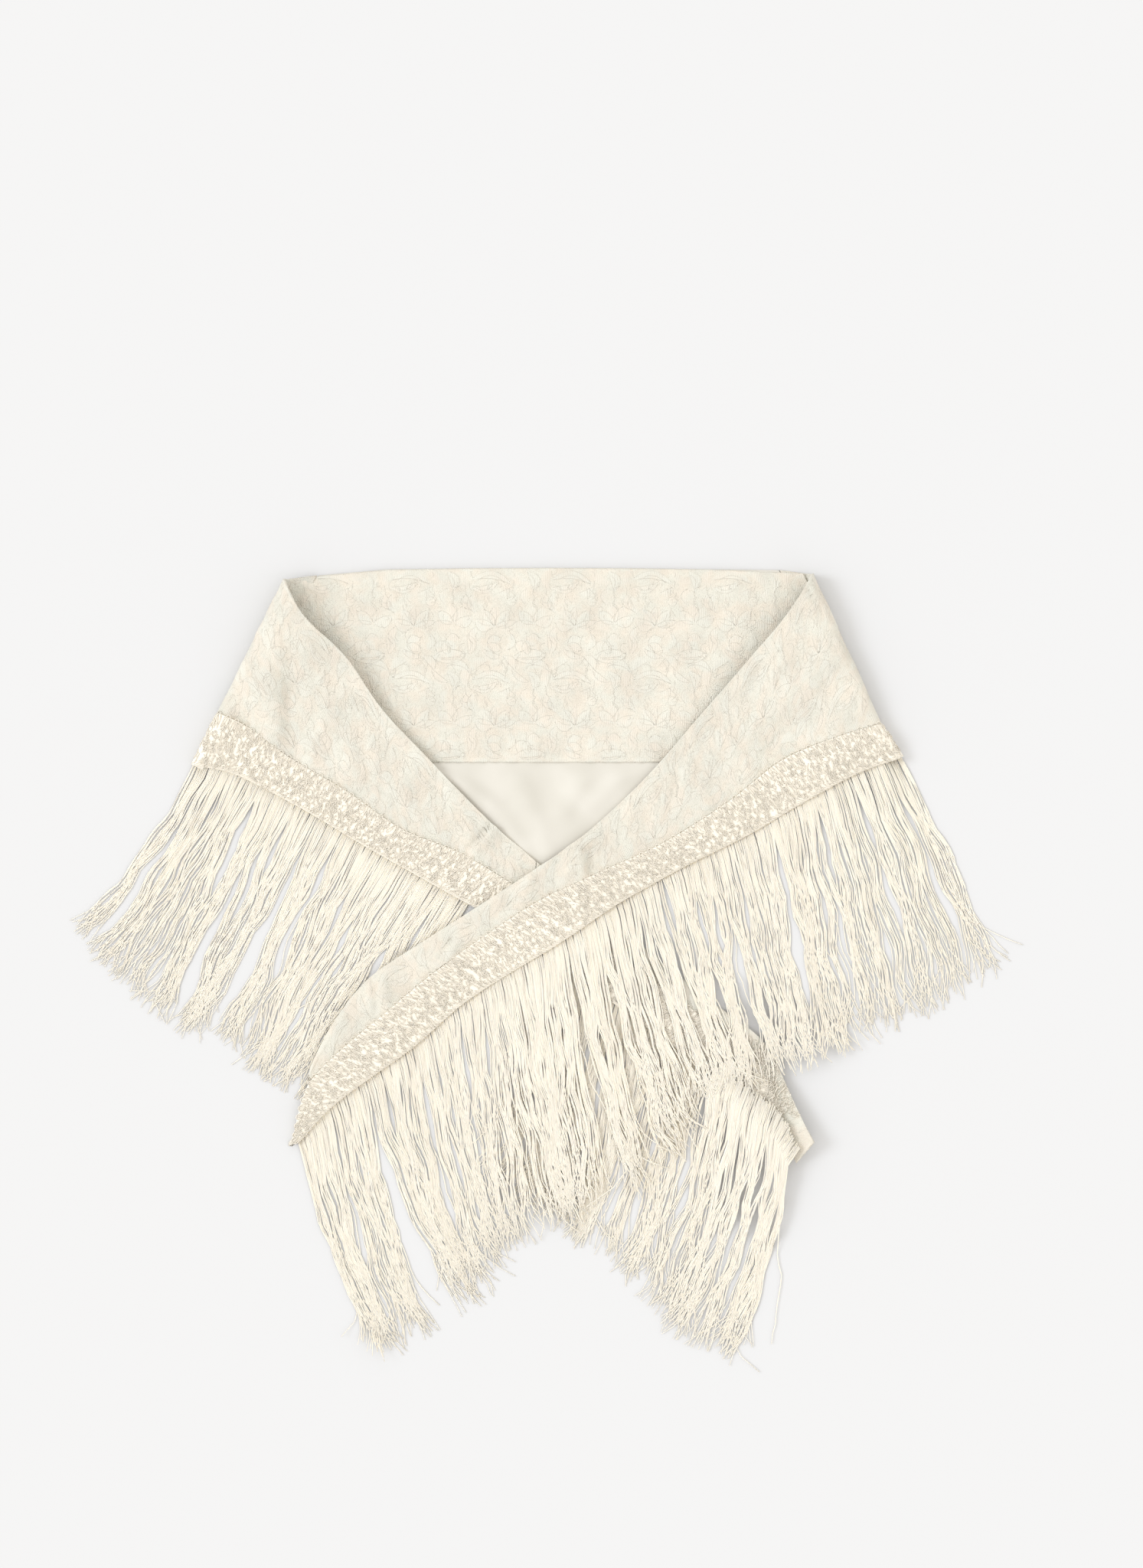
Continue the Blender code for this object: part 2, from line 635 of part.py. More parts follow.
def build():
    """Lay the shawl piece by piece, each one over what already lies on the table."""
    empty_scene()
    collection = bpy.data.collections.new("lace_shawl")
    bpy.context.scene.collection.children.link(collection)
    table = Table()

    back = back_outline()
    lining = flat_sheet("back_lining", back, 0.0, LINING_THICK, collection,
                        finish_of("smooth_lining", IVORY_LINING, 0.7))
    facing = flat_sheet("back_lace_facing", facing_outline(back), LINING_THICK + SEAM_GAP,
                        FACING_THICK, collection, finish_of("facing_lace", IVORY_LACE, 0.8))
    table.lay(lining)
    table.lay(facing)

    over_back = table.draped(OVER_BACK)
    rows = cloth_rows(LEFT_SECTIONS, LEFT_CLOTH_END, 1, over_back, LEFT_CREASES)
    front_rows, end_rows = parted(rows, FOLD_STEPS + 1 + LEFT_CLOTH_SPLIT)
    left = sheet("left_front", front_rows, collection, finish_of("left_lace", IVORY_LACE, 0.8))
    left_end = sheet("left_front_end", end_rows, collection, finish_of("end_lace", IVORY_LACE, 0.8))
    rows = braid_rows(LEFT_SECTIONS, LEFT_BRAID_END, 1, over_back)
    front_rows, end_rows = parted(rows, FOLD_STEPS + LEFT_BRAID_SPLIT)
    left_braid = braid("left_braid", front_rows, 1, BRAID_FLAT_ROWS, collection,
                       finish_of("left_knots", IVORY_BRAID, 0.85))
    left_end_braid = braid("left_end_braid", end_rows, 1, 0, collection,
                           finish_of("end_knots", IVORY_BRAID, 0.85))
    left_fringe = fringe("left_fringe", LEFT_SECTIONS, LEFT_FRINGE_SPAN, LEFT_FLOW, 1,
                         over_back, collection, finish_of("left_yarn", IVORY_YARN, 0.75))
    left_end_fringe = fringe("left_end_fringe", LEFT_SECTIONS, LEFT_END_FRINGE_SPAN,
                             LEFT_END_FLOW, 1, over_back, collection,
                             finish_of("end_yarn", IVORY_YARN, 0.75))
    for piece in (left, left_end, left_braid, left_end_braid, left_fringe, left_end_fringe):
        table.lay(piece)

    over_left = table.draped(OVER_LEFT)
    rows = cloth_rows(RIGHT_SECTIONS, RIGHT_CLOTH_END, -1, over_left, RIGHT_CREASES)
    sheet("right_front", rows, collection, finish_of("right_lace", IVORY_LACE, 0.8))
    rows = braid_rows(RIGHT_SECTIONS, RIGHT_BRAID_END, -1, over_left)
    braid("right_braid", rows, -1, BRAID_FLAT_ROWS, collection, finish_of("right_knots", IVORY_BRAID, 0.85))
    fringe("right_fringe", RIGHT_SECTIONS, RIGHT_FRINGE_SPAN, RIGHT_FLOW, -1,
           table.draped(FRINGE_OVER_LEFT), collection, finish_of("right_yarn", IVORY_YARN, 0.75))


build()
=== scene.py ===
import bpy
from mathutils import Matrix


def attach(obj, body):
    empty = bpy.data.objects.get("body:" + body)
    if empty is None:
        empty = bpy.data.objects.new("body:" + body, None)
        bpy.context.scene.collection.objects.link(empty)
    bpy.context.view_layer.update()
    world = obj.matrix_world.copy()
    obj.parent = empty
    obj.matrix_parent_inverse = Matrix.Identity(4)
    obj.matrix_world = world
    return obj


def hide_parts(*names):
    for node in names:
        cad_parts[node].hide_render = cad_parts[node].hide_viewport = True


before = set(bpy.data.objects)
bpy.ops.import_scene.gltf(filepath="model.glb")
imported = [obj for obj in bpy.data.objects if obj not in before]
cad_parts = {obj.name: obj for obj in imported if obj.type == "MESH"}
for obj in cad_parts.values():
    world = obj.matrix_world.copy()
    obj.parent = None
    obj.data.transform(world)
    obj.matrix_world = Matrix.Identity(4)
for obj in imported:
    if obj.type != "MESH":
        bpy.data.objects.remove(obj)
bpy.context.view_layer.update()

# The looks of a fringed lace shawl laid flat. The lace is a fine grid on the form of each solid,
# raised by a chart of flowers and leaves, with thin cords round the motifs. The braid is a band
# with crocheted yarn on it, and the fringe is loose strands of yarn.
# Units are metres, and the tables are in millimetres. +X runs right and +Y towards the neck edge.
import math
from collections import namedtuple

import bmesh
import bpy
import numpy as np
from mathutils import Vector, noise
from mathutils.bvhtree import BVHTree

bpy.ops.object.select_all(action="DESELECT")

MM = 0.001
UP = np.array([0.0, 0.0, 1.0])
DOWN = Vector((0, 0, -1))
WELL_ABOVE = 0.2
JUST_BELOW = -0.01

# Thicknesses and rows of the solids, so that the fine cloth lies on them
CLOTH_THICK = 2.4 * MM
BRAID_THICK = 4.0 * MM
LINING_TOP = 2.0 * MM
FACING_BOTTOM = 2.3 * MM
FACING_TOP = 4.3 * MM
SEAM_GAP = 0.3 * MM
BRAID_SHOWN_GAP = 0.15 * MM
CLOTH_ROWS = 40
CLOTH_LINES = 8
BRAID_ROWS = 76
BRAID_LINES = 5
FOLD_STEPS = 6
CLOTH_TUCK = 25.0 * MM
BRAID_TUCK = 14.0 * MM
CLOTH_FOLD_REACH = 13.0 * MM
BRAID_FOLD_REACH = 8.0 * MM
LEFT_CLOTH_SPLIT = 27
TIP_START = 0.885
NEVER = 2.0
RIM_HEIGHT = 30.0 * MM
RIM_INSETS = (0.0, 0.8, 1.6, 3.2, 6.4)
TIP_RAMP = 0.04
LEFT_BRAID_SPLIT = 44
CURVE_SAMPLES = 40

# Fine grids: the step along, the points across the cloth and the braid, and those under them
ALONG_STEP = 1.45 * MM
CLOTH_ACROSS = 88
BRAID_ACROSS = 22
UNDER_ACROSS = 7
BRAID_UNDER = 3

# A section across a front: its neck edge, its seam with the braid and the braid's outer edge
Section = namedtuple("Section", "neck_x neck_y seam_x seam_y edge_x edge_y")

LEFT_SECTIONS = [
    Section(-243.6, 100.1, -304.5, -21.0, -329.0, -69.3),
    Section(-226.1, 68.6, -279.3, -32.9, -294.0, -76.0),
    Section(-187.6, 30.1, -239.4, -61.6, -262.0, -90.5),
    Section(-154.7, -17.5, -187.6, -92.4, -224.0, -111.3),
    Section(-110.6, -65.1, -136.5, -127.4, -175.0, -140.7),
    Section(-56.7, -120.4, -82.6, -149.8, -110.6, -177.1),
    Section(-9.8, -161.0, -28.0, -182.7, -49.0, -212.1),
    Section(66.5, -222.6, 53.2, -238.7, 30.1, -268.1),
    Section(143.5, -284.2, 133.7, -296.1, 110.6, -325.5),
    Section(196.7, -326.9, 186.0, -338.0, 165.9, -364.7),
    Section(215.6, -364.0, 201.6, -366.8, 184.8, -378.7),
    Section(226.0, -387.0, 207.5, -386.0, 198.1, -388.0),
    Section(239.4, -413.0, 224.0, -432.6, 217.0, -424.0),
]

RIGHT_SECTIONS = [
    Section(238.7, 105.0, 301.0, -30.8, 322.0, -61.6),
    Section(214.9, 68.6, 259.0, -44.1, 285.6, -74.2),
    Section(175.7, 21.7, 214.9, -62.3, 235.9, -100.1),
    Section(139.3, -20.3, 160.3, -103.6, 181.3, -132.3),
    Section(84.0, -83.3, 97.3, -142.8, 118.3, -163.8),
    Section(37.1, -127.4, 44.8, -166.6, 58.1, -198.1),
    Section(-14.0, -164.5, -14.0, -194.6, 7.0, -232.4),
    Section(-70.0, -200.9, -56.0, -221.9, -37.1, -259.0),
    Section(-116.9, -231.0, -101.5, -254.1, -80.5, -287.7),
    Section(-170.1, -268.1, -154.0, -297.5, -126.0, -326.9),
    Section(-205.1, -317.1, -196.0, -333.0, -168.0, -357.0),
    Section(-223.5, -357.0, -218.5, -356.0, -196.0, -378.0),
    Section(-238.5, -418.0, -238.5, -418.0, -232.0, -413.0),
]

LEFT_CLOTH_END = 1.0
LEFT_BRAID_END = 0.925
RIGHT_CLOTH_END = 0.905
RIGHT_BRAID_END = 1.0
NECK_RUN = (1.0, 0.12)
SEAM_RUN = (0.925, -0.38)

# The back's neck edge between the shoulders, the middle of its hidden lower edge, and the
# straight lower edge of the lace inside it
BACK_NECK = [(-150, 109.3), (-75, 110.4), (0, 110.8), (75, 110.4), (150, 109.3)]
BACK_LOW_POINTS = [(-100, -142), (-40, -166), (0, -172), (40, -166), (100, -142)]
FACING_LOW_Y = -67.0 * MM
FACING_INSET = 0.6 * MM

# The mean height of the knots on the braid's solid, from its seam to its edge
BRAID_RELIEF = (0.2, 0.85, 1.3, 1.0, 0.0)

# The way the fringe lies: where along the edge, from the root to the tip, and its bow
Flow = namedtuple("Flow", "at reach_x reach_y bow")

LEFT_FLOW = [
    Flow(0.00, -99, -136, 5),
    Flow(0.04, -105, -162, 4),
    Flow(0.10, -99, -193, 3),
    Flow(0.17, -97, -200, 2),
    Flow(0.25, -101, -194, 0),
    Flow(0.33, -113, -186, 0),
    Flow(0.42, -124, -180, 0),
]

LEFT_END_FLOW = [
    Flow(0.52, -34, -208, 3),
    Flow(0.56, -35, -208, 3),
    Flow(0.63, -38, -206, 3),
    Flow(0.72, -45, -196, 4),
    Flow(0.82, -56, -195, 6),
    Flow(0.93, -58, -204, 9),
    Flow(1.00, -54, -186, 9),
]

RIGHT_FLOW = [
    Flow(0.00, 90, -183, 4),
    Flow(0.05, 80, -204, 3),
    Flow(0.10, 58, -211, 2),
    Flow(0.15, 44, -211, 0),
    Flow(0.28, 42, -203, 0),
    Flow(0.40, 54, -197, -3),
    Flow(0.55, 53, -232, -5),
    Flow(0.68, 38, -224, -4),
    Flow(0.80, 46, -212, -6),
    Flow(0.92, 70, -209, -8),
    Flow(1.00, 76, -194, -12),
]

# Gaps in which the floor shows: the front's side, where along the edge, where they start and end
# on the strands' length, and their width and reach in millimetres
Gap = namedtuple("Gap", "side at start end width reach")

GAPS = [
    Gap(1, 0.101, 0.06, 0.52, 7, 12), Gap(1, 0.138, 0.18, 0.92, 8, 13),
    Gap(1, 0.832, 0.20, 0.68, 7, 11), Gap(1, 0.802, 0.32, 0.88, 8, 12),
    Gap(1, 0.941, 0.10, 0.48, 6, 8),
    Gap(-1, 0.375, 0.00, 0.26, 4, 8), Gap(-1, 0.310, 0.18, 0.52, 5, 9),
    Gap(-1, 0.136, 0.08, 0.46, 5, 9), Gap(-1, 0.702, 0.48, 0.85, 6, 11),
    Gap(-1, 0.225, 0.62, 1.06, 5, 10), Gap(-1, 0.462, 0.60, 1.06, 5, 10),
    Gap(-1, 0.848, 0.58, 1.06, 5, 10), Gap(1, 0.262, 0.62, 1.06, 5, 10),
]

# Where the fronts cross and where each fringe starts and ends, as shares of the outer edge
CROSSING = 0.5
LEFT_FRINGE_SPAN = (0.004, 0.432)
LEFT_END_FRINGE_SPAN = (0.525, 1.0)
RIGHT_FRINGE_SPAN = (0.004, 0.997)

# One repeat of the lace, along the neck edge and away from it
TILE_ALONG = 73.5
TILE_ACROSS = 91.0

# A leaf or petal of the chart: its middle, the way it points in degrees, its size and its bend
Leaf = namedtuple("Leaf", "u v angle length width bend")

# Two long curled leaves, an eye-shaped leaf with a dark one under it, and single leaves
LEAVES = [
    Leaf(19, 10, 6, 38, 7, -7), Leaf(13, 18, -12, 25, 7, 4), Leaf(44, 9, 38, 21, 8, 4),
    Leaf(57, 12, 72, 19, 9, -4), Leaf(70, 9, 104, 18, 8, 4), Leaf(50, 26, 100, 15, 7, 3),
    Leaf(54, 81, -4, 31, 13, 0), Leaf(55, 82, -6, 19, 5, -1), Leaf(62, 91, 14, 24, 9, -5),
    Leaf(36, 86, 50, 17, 7, -3), Leaf(19, 80, 22, 20, 9, 4), Leaf(7, 88, -32, 18, 8, -4),
    Leaf(73, 70, 84, 19, 8, -3), Leaf(2, 33, 80, 18, 8, 3), Leaf(32, 22, -24, 14, 6, 3),
    Leaf(71, 32, 62, 16, 8, 3), Leaf(36, 68, 104, 16, 7, -3), Leaf(3, 62, 96, 17, 7, 3),
]

# A fan of petals: the base, the petals' reach and width, how many, their middle and their spread
Fan = namedtuple("Fan", "u v reach width petals turn spread")

FANS = [
    Fan(22, 55, 19, 11, 5, -88, 150),
    Fan(58, 52, 18, 10, 5, -100, 160),
    Fan(50, 66, 13, 8, 4, 60, 130),
    Fan(14, 70, 14, 8, 3, 20, 90),
]

# Rings: middle and radius
Ring = namedtuple("Ring", "u v radius")

RINGS = [Ring(37, 31, 4.2), Ring(45, 38, 2.2), Ring(66, 80, 1.8)]

# Short curved threads scattered between the motifs: how many in a repeat, and their length
SPRIGS = 74
SPRIG_LENGTH = (4.0, 11.0)

# The lace's relief: how far it is filled and ribbed, the leaves that get a second outline and a
# rib, the cords round them, the hem along the neck edge, and the soft swell of the cloth
FILL_RISE = 0.5 * MM
RING_FILL = 0.35
RIB_DEPTH = 0.12 * MM
RIB_WIDTH = 0.7
RIB_RUN = (0.12, 0.85)
LONG_LEAF = 24
RIBBED_LEAF = 18
CORD_WIDTH = 0.7 * MM
CORD_RISE = 0.26 * MM
CORD_SINK = 0.12 * MM
CORD_POINTS = 7
CORD_MARGIN = 1.0 * MM
NECK_HEM_WIDTH = 2.2 * MM
NECK_HEM_RISE = 0.5 * MM
SWELL_RISE = 2.0 * MM
BACK_SWELL_RISE = 0.9 * MM
SWELL_SIZE = 30.0 * MM

# Soft ridges and troughs of the fronts, finer than the ones of the solids
Crease = namedtuple("Crease", "start_x start_y end_x end_y half_width rise")

FRONT_CREASES = [
    Crease(-288, 2, -284, -34, 6, -1.3), Crease(-252, 36, -248, -40, 9, 1.9),
    Crease(-236, 22, -240, -30, 6, -1.1), Crease(-184, -50, -180, -78, 6, 1.3),
    Crease(-172, -58, -168, -80, 5, -0.9), Crease(-130, -76, -146, -98, 8, 1.2),
    Crease(-54, -122, -76, -147, 3.4, -2.0), Crease(-47, -122, -66, -146, 4, 1.5),
    Crease(-25, -143, -11, -161, 2.0, 1.1), Crease(-94, -92, -88, -116, 7, 1.1),
    Crease(190, 18, 180, -6, 8, -2.3), Crease(156, -26, 142, -50, 8, -2.5),
    Crease(124, -54, 112, -72, 7, -2.1), Crease(116, -84, 108, -98, 6, -1.2),
    Crease(210, -38, 198, -60, 7, -1.3), Crease(252, 0, 240, -24, 8, -1.3),
    Crease(226, 52, 216, 22, 9, 1.3), Crease(90, -92, 78, -120, 9, 1.2),
    Crease(26, -150, 29, -169, 4, 1.8), Crease(37, -146, 36, -168, 3.5, -1.4),
    Crease(-20, -176, -30, -190, 7, 1.2), Crease(-92, -229, -100, -244, 3, -1.3),
    Crease(-84, -226, -92, -242, 4, 1.0), Crease(-161, -275, -159, -291, 3.4, -2.0),
    Crease(-152, -272, -150, -290, 5, 1.4), Crease(-190, -300, -204, -316, 6, 1.2),
]

# How the left front's neck edge stands off the back: its rise and width, the height above which
# the cloth is high already, and where on the picture it ends
EDGE_RISE = 4.0 * MM
EDGE_RISE_WIDTH = 11.0 * MM
EDGE_RISE_TOP = 20.0 * MM
EDGE_RISE_RAMP = 12.0 * MM
EDGE_RISE_END = -132.0 * MM
EDGE_RISE_RUN = 40.0 * MM

# Fringe yarn: its bundles, its size, its clear height over what it lies on, how much wider it is
# pressed where that is other cloth, its points, and how the tones of bundles and strands vary
BUNDLE_PITCH = 8.2 * MM
STRANDS_EACH = 14
YARN_RADIUS = 0.64 * MM
YARN_FLATNESS = 0.38
YARN_SIDES = 3
YARN_CLEAR = 0.1 * MM
RAISED_WIDTH = 1.15
RAISED_OVER = 1.0 * MM
STRAND_POINTS = 21
POINT_PACE = 0.94
EDGE_PLACES = 400
TONES = (0.35, 0.75)

# The share of the strands kept at the crowded end of an edge, and the outer end of an edge, in
# which they turn less
CROWDED_END = 0.045
CROWDED_SHARE = 0.85
OUTER_END = 0.12
OUTER_TURN = 0.25

# How the fringe falls: how close the strands of a bundle start and lie, how their roots are tucked
# under the edge or, past a share of it, laid over the left end, how bundles gather into locks and
# part again at the tips, how far locks, bundles, strands and strays turn in degrees, how their
# lengths and tips vary, and how high they lie on one another
ROOT_SPREAD = 0.86
FALLEN_SPREAD = 1.05
SPREAD_RUN = 0.06
ROOT_SCATTER = 0.045
ROOT_TUCK = 4.0 * MM
TUCK_RUN = 0.05
ROOT_FALL = 22.0 * MM
ROOTS_OVER = 0.80
OVER_RAMP = 0.04
OVER_INSET = 7.0 * MM
OVER_RISE = 1.3 * MM
LOCK_BUNDLES = (2, 4)
LOCK_PULL = (0.03, 0.30)
PULL_RUN = 0.7
PARTS_AGAIN = 0.35
PARTS_FROM = 0.75
LOCK_TURN = 1.9
BUNDLE_TURN = 1.7
STRAND_TURN = 0.8
STRAY_SHARE = 0.025
STRAY_TURN = 5.5
LOCK_LENGTHS = 0.025
STRAND_LENGTHS = 0.035
LENGTH_LIMITS = (0.84, 1.07)
TIP_CURL = 6.0 * MM
CURL_FROM = (0.72, 0.9)
CURLED_SHARE = 0.14
CURLED_MORE = 2.4
LAYERS = 0.3 * MM
RIPPLE = 0.12 * MM
RIGHT_LIFT = 0.4 * MM

# The waves of a strand: length and height in millimetres, and how far a strand leaves its bundle
Wave = namedtuple("Wave", "length height own")

WAVES = [Wave(88, 2.3, 0.25), Wave(41, 0.9, 0.35), Wave(24, 0.3, 0.8)]

# The heights of what lies under a fringe, read on a grid
GROUND_CELL = 4.0 * MM
GROUND_LOW = (-0.44, -0.64)
GROUND_HIGH = (0.44, 0.13)
GROUND_REACH = 1
GROUND_FALLS = 20
GROUND_FALL = 0.12

# The braid: points on each of its yarns, its mean width, the threads of its heading, the share of
# tight loops among its yarns, and how far it reaches over the seam
BRAID_POINTS = 6
YARN_SHARE = np.linspace(0.0, 1.0, BRAID_POINTS)
YARN_BULGE = np.sin(math.pi * YARN_SHARE)
BRAID_WIDTH = 38.0 * MM
HEADING_THREADS = 4
HEADING_RADIUS = 0.45
SCALLOP_RADIUS = 0.58
EDGE_LOOPS = 3
LOOP_SHARE = 0.35
OVER_SEAM = 0.05

# Its rows of loose loops: where across it, their shift in pitches and how many in a pitch
KnotRow = namedtuple("KnotRow", "part shift loops")

KNOT_ROWS = [KnotRow(0.19, 0.5, 4), KnotRow(0.29, 0.0, 4), KnotRow(0.39, 0.5, 5),
             KnotRow(0.49, 0.0, 5), KnotRow(0.59, 0.5, 5), KnotRow(0.69, 0.0, 5),
             KnotRow(0.79, 0.5, 5), KnotRow(0.89, 0.0, 4)]

# Loops over the narrow cloth of the left end: their spacing, and where they start and stop
LOOP_SPACING = 3.2 * MM
LOOPS_LOW_Y = -395.0 * MM
LOOPS_HIGH_Y = -316.0 * MM

# Soft folds in the lining that shows: a line from start to end
LINING_FOLDS = [
    Crease(-104, -72, -58, -104, 9, 3.4),
    Crease(-70, -76, -40, -100, 9, -1.8),
    Crease(-30, -76, -4, -150, 11, 2.8),
    Crease(36, -72, 12, -112, 10, 3.6),
    Crease(70, -72, 34, -108, 9, 2.6),
    Crease(-50, -112, -24, -144, 8, 2.0),
]

# The back: the lining's grid, how far it rises to meet the lace and where its folds start, the
# lace's thin lower edge and its grid, how far it runs on over the tucked fronts and rises there,
# and the rolls of the shoulders
LINING_COLUMNS = 220
LINING_ACROSS = 90
LINING_DEEPEST = -1.2 * MM
LINING_LIFT = 0.9 * MM
LIFT_RUN = 1.5 * MM
LIFT_END = -115.0 * MM
LIFT_END_RUN = 40.0 * MM
FOLDS_START = 3.0 * MM
FOLDS_RUN = 14.0 * MM
HEM_THIN = 1.1 * MM
HEM_RUN = 9.0 * MM
BACK_TOP_Y = 110.8 * MM
FACING_COLUMNS = 380
FACING_ACROSS = 118
FACING_FURTHER = 18.0 * MM
TUCK_RISE = 0.7 * MM
TUCK_RAMP = 6.0 * MM
ROLL_RADIUS = (10.5 * MM, 6.0 * MM)

# Where the lace's chart stands at the start of each front
NECK_START = 250.0 * MM

# The stage
FLOOR_SIZE = 8.0
SUN_HEIGHT = 40.0
SUN_DOWN = -0.12
SUN_SPREAD = 24.0
SUN_STRENGTH = 1.02
SUN_COLOUR = (0.95, 1.0, 1.08)
SKY_STRENGTH = 1.22
SKY_COLOUR = (1.0, 0.985, 0.965, 1.0)
CAMERA_PLACE = (0.01855, -0.0868, 3.385)

IVORY_FLOWER = "d9d4c9"
IVORY_NET = "d6d0c3"
IVORY_WARM = "dad0c0"
IVORY_COOL = "d5d5c9"
IVORY_CORD = "dfdacd"
# The lining's two tones are a painted shade and the unshaded lining, mixed in soft clouds.
IVORY_LINING_PAINTED_SHADE = "cac6bb"
IVORY_LINING_UNSHADED = "d3cfc5"
# The deep colours of the yarns are their darker tones, and the faint painted shade along their
# twist also reaches towards them.
IVORY_BRAID = "f6f0e3"
IVORY_BRAID_DEEP = "f0e8d9"
IVORY_YARN = "fdf4e0"
IVORY_YARN_DEEP = "f7ebd4"
IVORY_BAND = "f5efe3"
IVORY_BAND_PAINTED_SHADE = "ece5d6"
FLOOR_WHITE = "d3d3d3"

# How much the warm and cool tints show in the lace, and the depths of the materials' bumps
LACE_TINT = 0.55
LACE_BUMP = 0.27 * MM
LINING_BUMP = 0.03 * MM
BAND_BUMP = 0.18 * MM


def linear(colour):
    """The linear colour, with alpha, of an sRGB hex value."""
    values = [int(colour[place:place + 2], 16) / 255 for place in (0, 2, 4)]
    return [value / 12.92 if value <= 0.04045 else ((value + 0.055) / 1.055) ** 2.4
            for value in values] + [1.0]


def hermite(values, knots, places):
    """A smooth curve through rows of values at their knots, read at places."""
    slopes = np.gradient(values, knots, axis=0)
    cell = np.clip(np.searchsorted(knots, places, side="right") - 1, 0, len(knots) - 2)
    width = (knots[cell + 1] - knots[cell])[:, None]
    part = (places - knots[cell])[:, None] / width
    return (values[cell] * (1 + 2 * part) * (1 - part) ** 2
            + values[cell + 1] * (3 - 2 * part) * part ** 2
            + slopes[cell] * width * part * (1 - part) ** 2
            - slopes[cell + 1] * width * part ** 2 * (1 - part))


def unit(vectors):
    """The vectors at a length of one."""
    return vectors / np.maximum(np.linalg.norm(vectors, axis=-1), 1e-12)[..., None]


def interpolated(at, places, columns):
    """Columns of values that are known at some places, read at others."""
    return np.stack([np.interp(at, places, column) for column in columns], axis=-1)


def read_grid(values, row, column):
    """The rows of values that a grid holds, read between its rows and columns."""
    low = np.minimum(row.astype(int), values.shape[0] - 2)
    left = np.minimum(column.astype(int), values.shape[1] - 2)
    up, over = (row - low)[..., None], (column - left)[..., None]
    near = values[low, left] * (1 - over) + values[low, left + 1] * over
    far = values[low + 1, left] * (1 - over) + values[low + 1, left + 1] * over
    return near * (1 - up) + far * up


def across_strip(near, far, columns):
    """Places from near to far values, in even columns."""
    shares = np.linspace(0.0, 1.0, columns)
    return near[:, None] * (1 - shares) + far[:, None] * shares


def lengths_along(points):
    """The distance of each point from the first one, along the line through them."""
    steps = np.linalg.norm(np.diff(points, axis=0), axis=1)
    return np.concatenate(([0.0], np.cumsum(steps)))


def smooth_line(points, shares, measured=2):
    """Points on a smooth curve, at shares of its length in its first measured columns."""
    points = np.asarray(points, dtype=float)
    knots = lengths_along(points[:, :measured])
    places = np.linspace(0.0, knots[-1], CURVE_SAMPLES * len(points))
    curve = hermite(points, knots, places)
    lengths = lengths_along(curve[:, :measured])
    return interpolated(shares * lengths[-1], lengths, curve.T)


def line_of(sections, part, count, end=1.0):
    """The neck, seam or edge line of a front, as x and y in metres, up to a share of it."""
    rows = [(getattr(s, part + "_x"), getattr(s, part + "_y")) for s in sections]
    return smooth_line(np.array(rows) * MM, np.linspace(0.0, end, count))


def solid_tree(*names):
    """The surface of some of the frame's solids, for casting rays."""
    points, faces = [], []
    for name in names:
        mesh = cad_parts[name].data
        first = len(points)
        points += [vertex.co.copy() for vertex in mesh.vertices]
        faces += [[first + corner for corner in face.vertices] for face in mesh.polygons]
    return BVHTree.FromPolygons(points, faces)


def top_height(tree, spot, middle):
    """The height of the surface above a spot. At a rim it is read a little further in."""
    inward = middle - spot
    away = max(np.hypot(*inward), 1e-9)
    for inset in RIM_INSETS:
        x, y = spot + inward * min(inset * MM / away, 1.0)
        hit = tree.ray_cast(Vector((x, y, WELL_ABOVE)), DOWN)[0]
        if hit is not None:
            return hit.z
    return tree.find_nearest(Vector((spot[0], spot[1], RIM_HEIGHT)))[0].z


def laid_rows(inner, outer, lines, tree):
    """Rows of points across a strip, on the top of its solid."""
    rows = np.empty((len(inner), lines, 3))
    middles = (inner + outer) / 2
    for number, (near, far) in enumerate(zip(inner, outer)):
        middle = middles[min(max(number, 1), len(inner) - 2)]
        for line, part in enumerate(np.linspace(0.0, 1.0, lines)):
            spot = near * (1 - part) + far * part
            rows[number, line, :2] = spot
            rows[number, line, 2] = top_height(tree, spot, middle) if number else 0.0
    return rows


def fold_rows(outline, under_runs, over_runs, inward, thick, tuck):
    """Rows that bring a strip from under a shoulder, round the fold and back over the top."""
    low = thick / 2
    radius = (outline[:, 2:] - low) / 2
    under = under_runs / (under_runs @ inward)[:, None]
    over = over_runs / (over_runs @ inward)[:, None]
    foot = outline * (1, 1, 0)
    rows = [foot + under * tuck + UP * low]
    for turn in np.linspace(-math.pi / 2, math.pi / 2, FOLD_STEPS + 1):
        lean = (1 + math.sin(turn)) / 2
        step = under * (1 - lean) + over * lean
        depth = thick / 2 + radius - radius * math.cos(turn)
        rows.append(foot + step * depth + UP * (low + radius + radius * math.sin(turn)))
    return np.array(rows)


def shoulder(sections, side):
    """The unit direction inwards from a shoulder fold, and the runs under the back there."""
    first = sections[0]
    fold = np.array([first.edge_x - first.neck_x, first.edge_y - first.neck_y])
    inward = np.array([-fold[1], fold[0], 0.0]) / np.hypot(*fold) * side
    neck_run = np.array([NECK_RUN[0] * side, NECK_RUN[1], 0.0])
    seam_run = np.array([SEAM_RUN[0] * side, SEAM_RUN[1], 0.0])
    return inward, neck_run, seam_run


def folded_strip(rows, under, side_inward, tree, thick, tuck, reach, relief):
    """A laid strip's rows at its mid thickness, with its shoulder fold before them."""
    rows[1:, :, 2] -= thick / 2 + relief
    over = rows[1] - rows[0]
    over[:, 2] = 0.0
    over = unit(over)
    middle = rows[1, :, :2].mean(axis=0)
    for line, step in enumerate(over / (over @ side_inward)[:, None]):
        spot = rows[0, line, :2] + step[:2] * reach
        rows[0, line, 2] = top_height(tree, spot, middle) - thick / 2 - relief[line]
    return fold_rows(rows[0], under, over, side_inward, thick, tuck)


